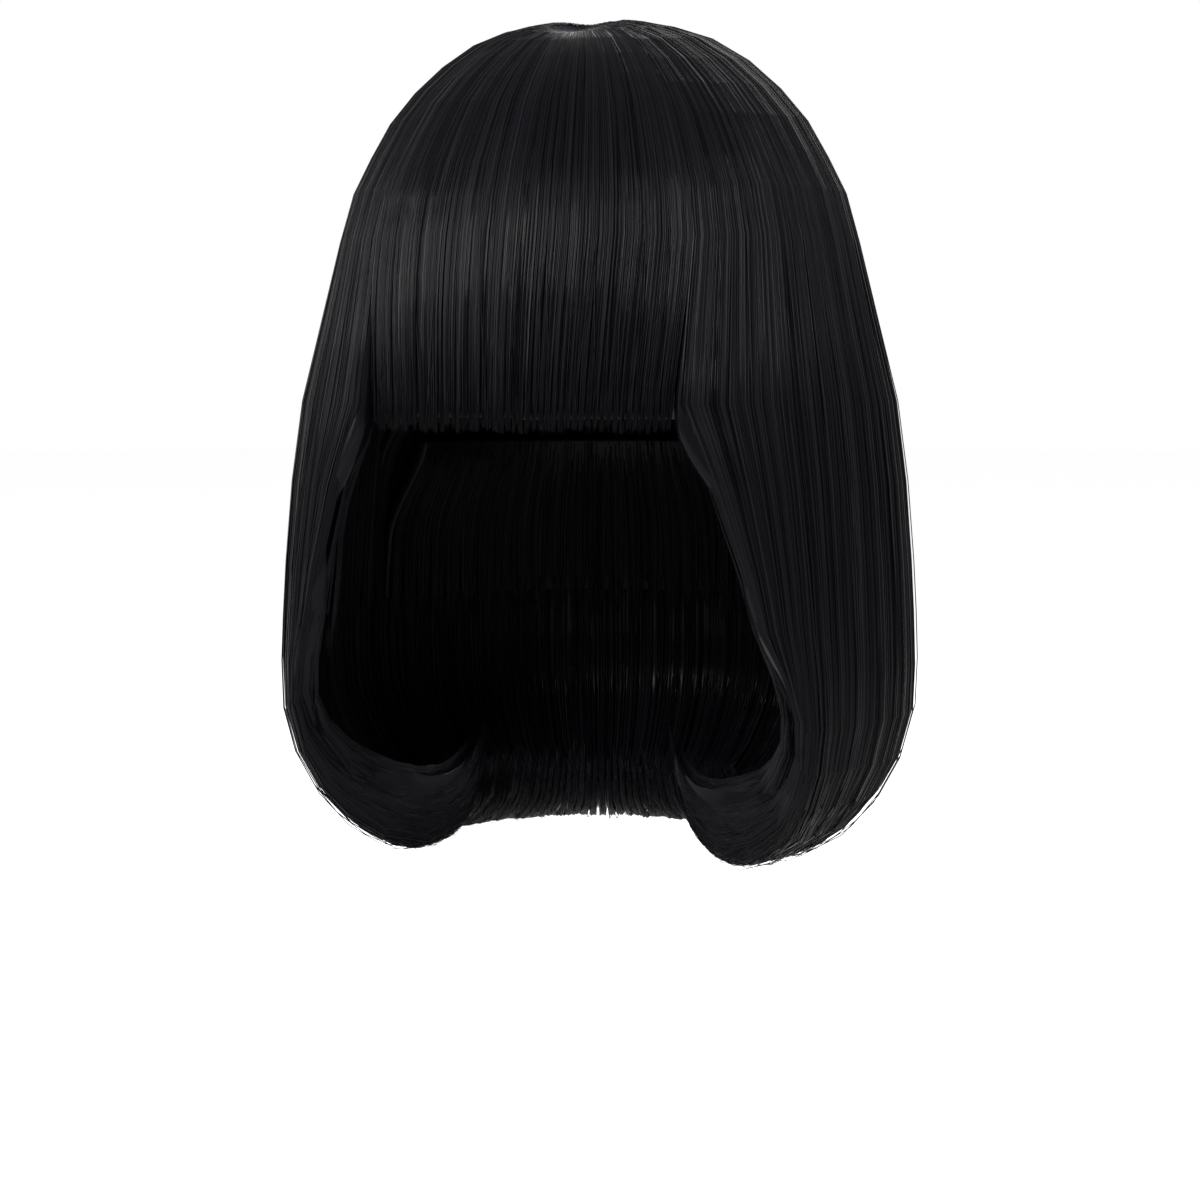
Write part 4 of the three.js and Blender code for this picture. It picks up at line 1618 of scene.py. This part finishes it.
    def make_tapes(self) -> None:
        """Upright elastics that the wefts are sewn to."""
        places = [("back_centre", 0.0)]
        places += [(f"back_{side.word}", side.value * self.back_tape_angle) for side in Side]
        places += [(f"side_{side.word}", side.value * self.side_tape_angle) for side in Side]
        for word, angle in places:
            low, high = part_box(f"tape_{word}")
            way = (math.sin(math.radians(angle)), math.cos(math.radians(angle)))
            z = np.linspace(low[2], min(high[2], self.tape_top), 61)[:, None]
            u = np.linspace(-0.5, 0.5, 7)[None, :] * self.tape_width
            foot = (u * way[1], -u * way[0])

            def shape(outset: float, foot: tuple = foot, way: tuple = way, z: np.ndarray = z) -> np.ndarray:
                """The tape at a distance outwards."""
                far = self.head.reach(foot, way, z, outset)
                return np.stack([foot[0] + far * way[0], foot[1] + far * way[1], z + 0 * far], axis=-1)

            self.add(f"elastic_{word}", (f"tape_{word}",), "elastic", shape, (0, self.ribbon), **cut(shape))

    def make_tracks(self) -> None:
        """Rows of weft: folded, stitched roots of the hair."""
        head = self.head
        inside = self.ribbon + self.net + 2 * self.gap
        depth = (inside, inside + self.track)
        steps = self.track_steps
        for row in range(1, self.weft_rows + 1):
            name = f"weft_track_{row}"
            low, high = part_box(name)
            u = np.linspace(-1, 1, steps)[:, None]
            span = self.band(
                np.full(steps, low[2]),
                np.full(steps, high[2]),
                lambda z, start=low[1]: math.pi + u * (math.pi - head.turn_at(start, z, inside)),
            )
            self.add(f"weft_row_{row}", (name,), "weft_track", span, depth)
        low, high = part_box("weft_track_fringe")
        u = np.linspace(-1, 1, self.band_steps)[:, None]
        span = self.band(
            np.full(self.band_steps, low[2]),
            np.full(self.band_steps, high[2]),
            lambda z: u * np.arcsin(np.clip(high[0] / head.sizes(z, inside)[0], 0, 1)),
        )
        self.add("weft_row_fringe", ("weft_track_fringe",), "weft_track", span, depth)
        inner, outer = self.crown_track
        self.add(
            "weft_row_crown",
            ("weft_track_crown",),
            "weft_track",
            lambda outset: self.disc((inner, inner), (outer, outer), outset),
            depth,
        )

    def make_ear_tab(self, side: Side) -> None:
        """Soft tongue in front of one ear, its low corners rounded to a quarter circle."""
        name = f"ear_tab_{side.word}"
        low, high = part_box(name)
        middle = (np.array(low) + np.array(high)) / 2
        slope = np.array([middle[0] / self.head.half_width**2, middle[1] / self.head.half_depth**2])
        out = slope / np.linalg.norm(slope)
        wide = np.array([-out[1], out[0]])
        length = high[2] - low[2]
        v = np.linspace(0, length, 41)[:, None]
        into = np.clip((v - (length - self.ear_tab_rounding)) / self.ear_tab_rounding, 0, 1)
        drawn_in = 1 - np.sqrt(np.maximum(0, 1 - (into * 0.98) ** 2))
        u = np.linspace(-1, 1, 17)[None, :] * (self.ear_tab_half - self.ear_tab_rounding * drawn_in)

        def shape(outset: float) -> np.ndarray:
            """The tab at a distance outwards."""
            x = middle[0] + wide[0] * u + out[0] * (outset + 0 * v)
            y = middle[1] + wide[1] * u + out[1] * (outset + 0 * v)
            return np.stack([x, y, high[2] - v + 0 * u], axis=-1)

        half = self.ear_tab_thickness / 2
        self.add(f"tab_{side.word}", (name,), "ear_tab", shape, (-half, half), **cut(shape))

    def make_adjuster(self, side: Side) -> None:
        """Loop tape, elastic strap and moulded hook of one nape adjuster."""
        hook = bpy.data.objects[f"adjuster_hook_{side.word}"]
        hook.data.materials.clear()
        hook.data.materials.append(self.finishes["hook"])
        out = self.frame_of(f"adjuster_strap_{side.word}")
        strap = self.block(f"strap_{side.word}", f"adjuster_strap_{side.word}", out, "elastic")
        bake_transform(strap)
        tape = self.block(f"loops_{side.word}", f"loop_tape_{side.word}", out, "elastic", bumps=3)
        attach(tape, "cap")

    def frame_of(self, node: str) -> np.ndarray:
        """Directions of a small straight piece: its length, out of the head, and up.

        The length is the level direction in which its corners spread most, away from
        the middle of the nape.
        """
        points = node_points(node)
        spread = points[:, :2] - points[:, :2].mean(axis=0)
        _, _, ways = np.linalg.svd(spread, full_matrices=False)
        way = ways[0] * np.sign(ways[0, 0] * points[:, 0].mean())
        out = np.array([-way[1], way[0]])
        out = out * np.sign(out @ points[:, :2].mean(axis=0))
        return np.array([[*way, 0], [*out, 0], [0, 0, 1]])

    def block(self, name: str, node: str, ways: np.ndarray, slot: str, bumps: int = 0) -> bpy.types.Object:
        """A flat strap that fills the space of a small straight CAD node.

        Args:
            name: the piece's name.
            node: the node.
            ways: its length, outward and up directions.
            slot: the finish.
            bumps: how many loops stand up along its inside, each a half sine.

        Returns:
            The piece.
        """
        local = node_points(node) @ ways.T
        low, high = local.min(axis=0), local.max(axis=0)
        u = np.linspace(0, 1, 73)[:, None]
        v = np.linspace(0, 1, 9)[None, :]
        softened = 0.1 * MM * np.abs(2 * v - 1) ** 6
        thick = high[1] - low[1]
        share = 0.5 + 0.5 * np.maximum(0, np.sin(u * math.tau * bumps)) if bumps else 1.0 + 0 * u

        def side(depth: np.ndarray) -> np.ndarray:
            """One face of the strap, at its depth."""
            along = low[0] + (high[0] - low[0]) * u + 0 * v
            up = low[2] + (high[2] - low[2]) * v + 0 * u
            return np.stack([along, depth, up], axis=-1) @ ways

        outer = side(high[1] - softened + 0 * u)
        inner = side(high[1] - thick * share + softened)
        made = closed_sheet(name, outer, inner, {"edge": np.abs(2 * v - 1) + 0 * u})
        dress(made, self.finishes[slot])
        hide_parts(node)
        return made


def node_points(name: str) -> np.ndarray:
    """Vertices of a CAD node at rest."""
    mesh = bpy.data.objects[name].data
    flat = np.empty(3 * len(mesh.vertices))
    mesh.vertices.foreach_get("co", flat)
    return flat.reshape(-1, 3)


def grid_area(points: np.ndarray) -> float:
    """Area of a grid of points: half the cross product of each quad's diagonals."""
    first = points[1:, 1:] - points[:-1, :-1]
    second = points[1:, :-1] - points[:-1, 1:]
    return float(np.linalg.norm(np.cross(first, second), axis=-1).sum() / 2)


def cut(shape: Callable[[float], np.ndarray]) -> dict[str, object]:
    """Flat size and area of a thin piece."""
    points = shape(0.0)
    length = float(np.linalg.norm(np.diff(points, axis=0), axis=-1).sum(axis=0).max())
    width = float(np.linalg.norm(np.diff(points, axis=1), axis=-1).sum(axis=1).max())
    return {"flat": (width, length), "area": min(grid_area(points), width * length)}


# ------------------------------------------------------------------ studio


@dataclass
class Studio:
    """A pale floor and backdrop, soft lights and the camera."""

    floor_drop: float = 0.5
    camera_distance: float = 1.2
    camera_azimuth: float = 18.5
    camera_pitch: float = 4.6
    aim: tuple[float, float, float] = (0.0, 0.0, -0.2225)
    lens: float = 88.0
    lit_point: tuple[float, float, float] = (0.0, 0.0, -0.15)
    lights: tuple[tuple[str, tuple[float, float, float], float, float], ...] = (
        ("key", (-0.25, -1.5, 0.66), 0.4, 52),
        ("left_fill", (1.5, -0.6, 0.8), 0.6, 20),
        ("right_fill", (-1.7, -0.5, 0.4), 0.7, 26),
        ("back", (0.2, 1.8, 1.0), 1.2, 15),
    )

    def build(self) -> None:
        """Make everything."""
        self.floor()
        self.camera()
        for light in self.lights:
            self.area(*light)
        world = bpy.data.worlds.new("studio")
        bpy.context.scene.world = world
        world.use_nodes = True
        background = world.node_tree.nodes["Background"]
        background.inputs["Color"].default_value = (1.0, 1.0, 1.0, 1.0)
        background.inputs["Strength"].default_value = 1.0
        bpy.context.scene.view_settings.view_transform = "Standard"

    def floor(self) -> None:
        """A round pale floor, wide enough to meet the horizon softly."""
        turn = np.linspace(0, math.tau, 97)[:-1]
        radius = np.linspace(0.001, 12.0, 24)
        a, r = np.meshgrid(turn, radius, indexing="ij")
        points = np.stack([r * np.cos(a), r * np.sin(a), np.full(a.shape, -self.floor_drop)], axis=-1)
        floor = make_mesh("floor", points.reshape(-1, 3), grid_faces(96, 24, close_rows=True)[:, ::-1])
        material, _, shader = new_material("pale_floor")
        shader.inputs["Base Color"].default_value = (0.985, 0.985, 0.985, 1)
        shader.inputs["Roughness"].default_value = 0.9
        floor.data.materials.append(material)
        floor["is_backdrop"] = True

    def camera(self) -> None:
        """Look at the wig's axis from a little to the wearer's left and a little above."""
        azimuth, pitch = math.radians(self.camera_azimuth), math.radians(self.camera_pitch)
        level = math.cos(pitch)
        away = Vector((math.sin(azimuth) * level, -math.cos(azimuth) * level, math.sin(pitch)))
        data = bpy.data.cameras.new("camera")
        data.lens = self.lens
        data.clip_end = 60
        camera = bpy.data.objects.new("camera", data)
        camera.location = Vector(self.aim) + away * self.camera_distance
        camera.rotation_euler = away.to_track_quat("Z", "Y").to_euler()
        bpy.context.scene.collection.objects.link(camera)
        bpy.context.scene.camera = camera

    def area(self, name: str, place: tuple[float, float, float], size: float, watts: float) -> None:
        """A square area light that faces the wig's middle."""
        data = bpy.data.lights.new(name, "AREA")
        data.size = size
        data.energy = watts
        light = bpy.data.objects.new(name, data)
        light.location = place
        direction = Vector(place) - Vector(self.lit_point)
        light.rotation_euler = direction.to_track_quat("Z", "Y").to_euler()
        bpy.context.scene.collection.objects.link(light)


# ------------------------------------------------------------------ the wig


def measured_hair(form: HairForm) -> Hair:
    """The hair, with its sizes read from the frame."""
    fringe_low, fringe_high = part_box("hair_fringe")
    _, side_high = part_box("hair_side_left")
    return Hair(
        form=form,
        finish=HairFinish().make(),
        under_finish=HairFinish("under_fibre", roughness=0.5).make(),
        fringe_half=fringe_high[0],
        fringe_end=-fringe_low[2],
        hinge=fringe_high[2],
        rear_y=side_high[1],
    )


def measured_head() -> HeadForm:
    """The head, with its sizes read from the outside of the net."""
    net_outside = Cap.ribbon + Cap.gap + Cap.net
    _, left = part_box("cap_net_left")
    _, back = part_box("cap_net_back_left")
    return HeadForm(half_width=left[0] - net_outside, half_depth=back[1] - net_outside)


def main() -> None:
    """Build the whole scene."""
    logging.basicConfig(level=logging.INFO, format="%(name)s: %(message)s")
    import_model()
    cad_low, cad_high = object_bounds()
    Studio().build()
    form = HairForm(half_width=cad_high[0], half_depth=cad_high[1], drop=-cad_low[2])
    measured_hair(form).build()
    Cap(measured_head()).build()


if __name__ == "__main__":
    main()
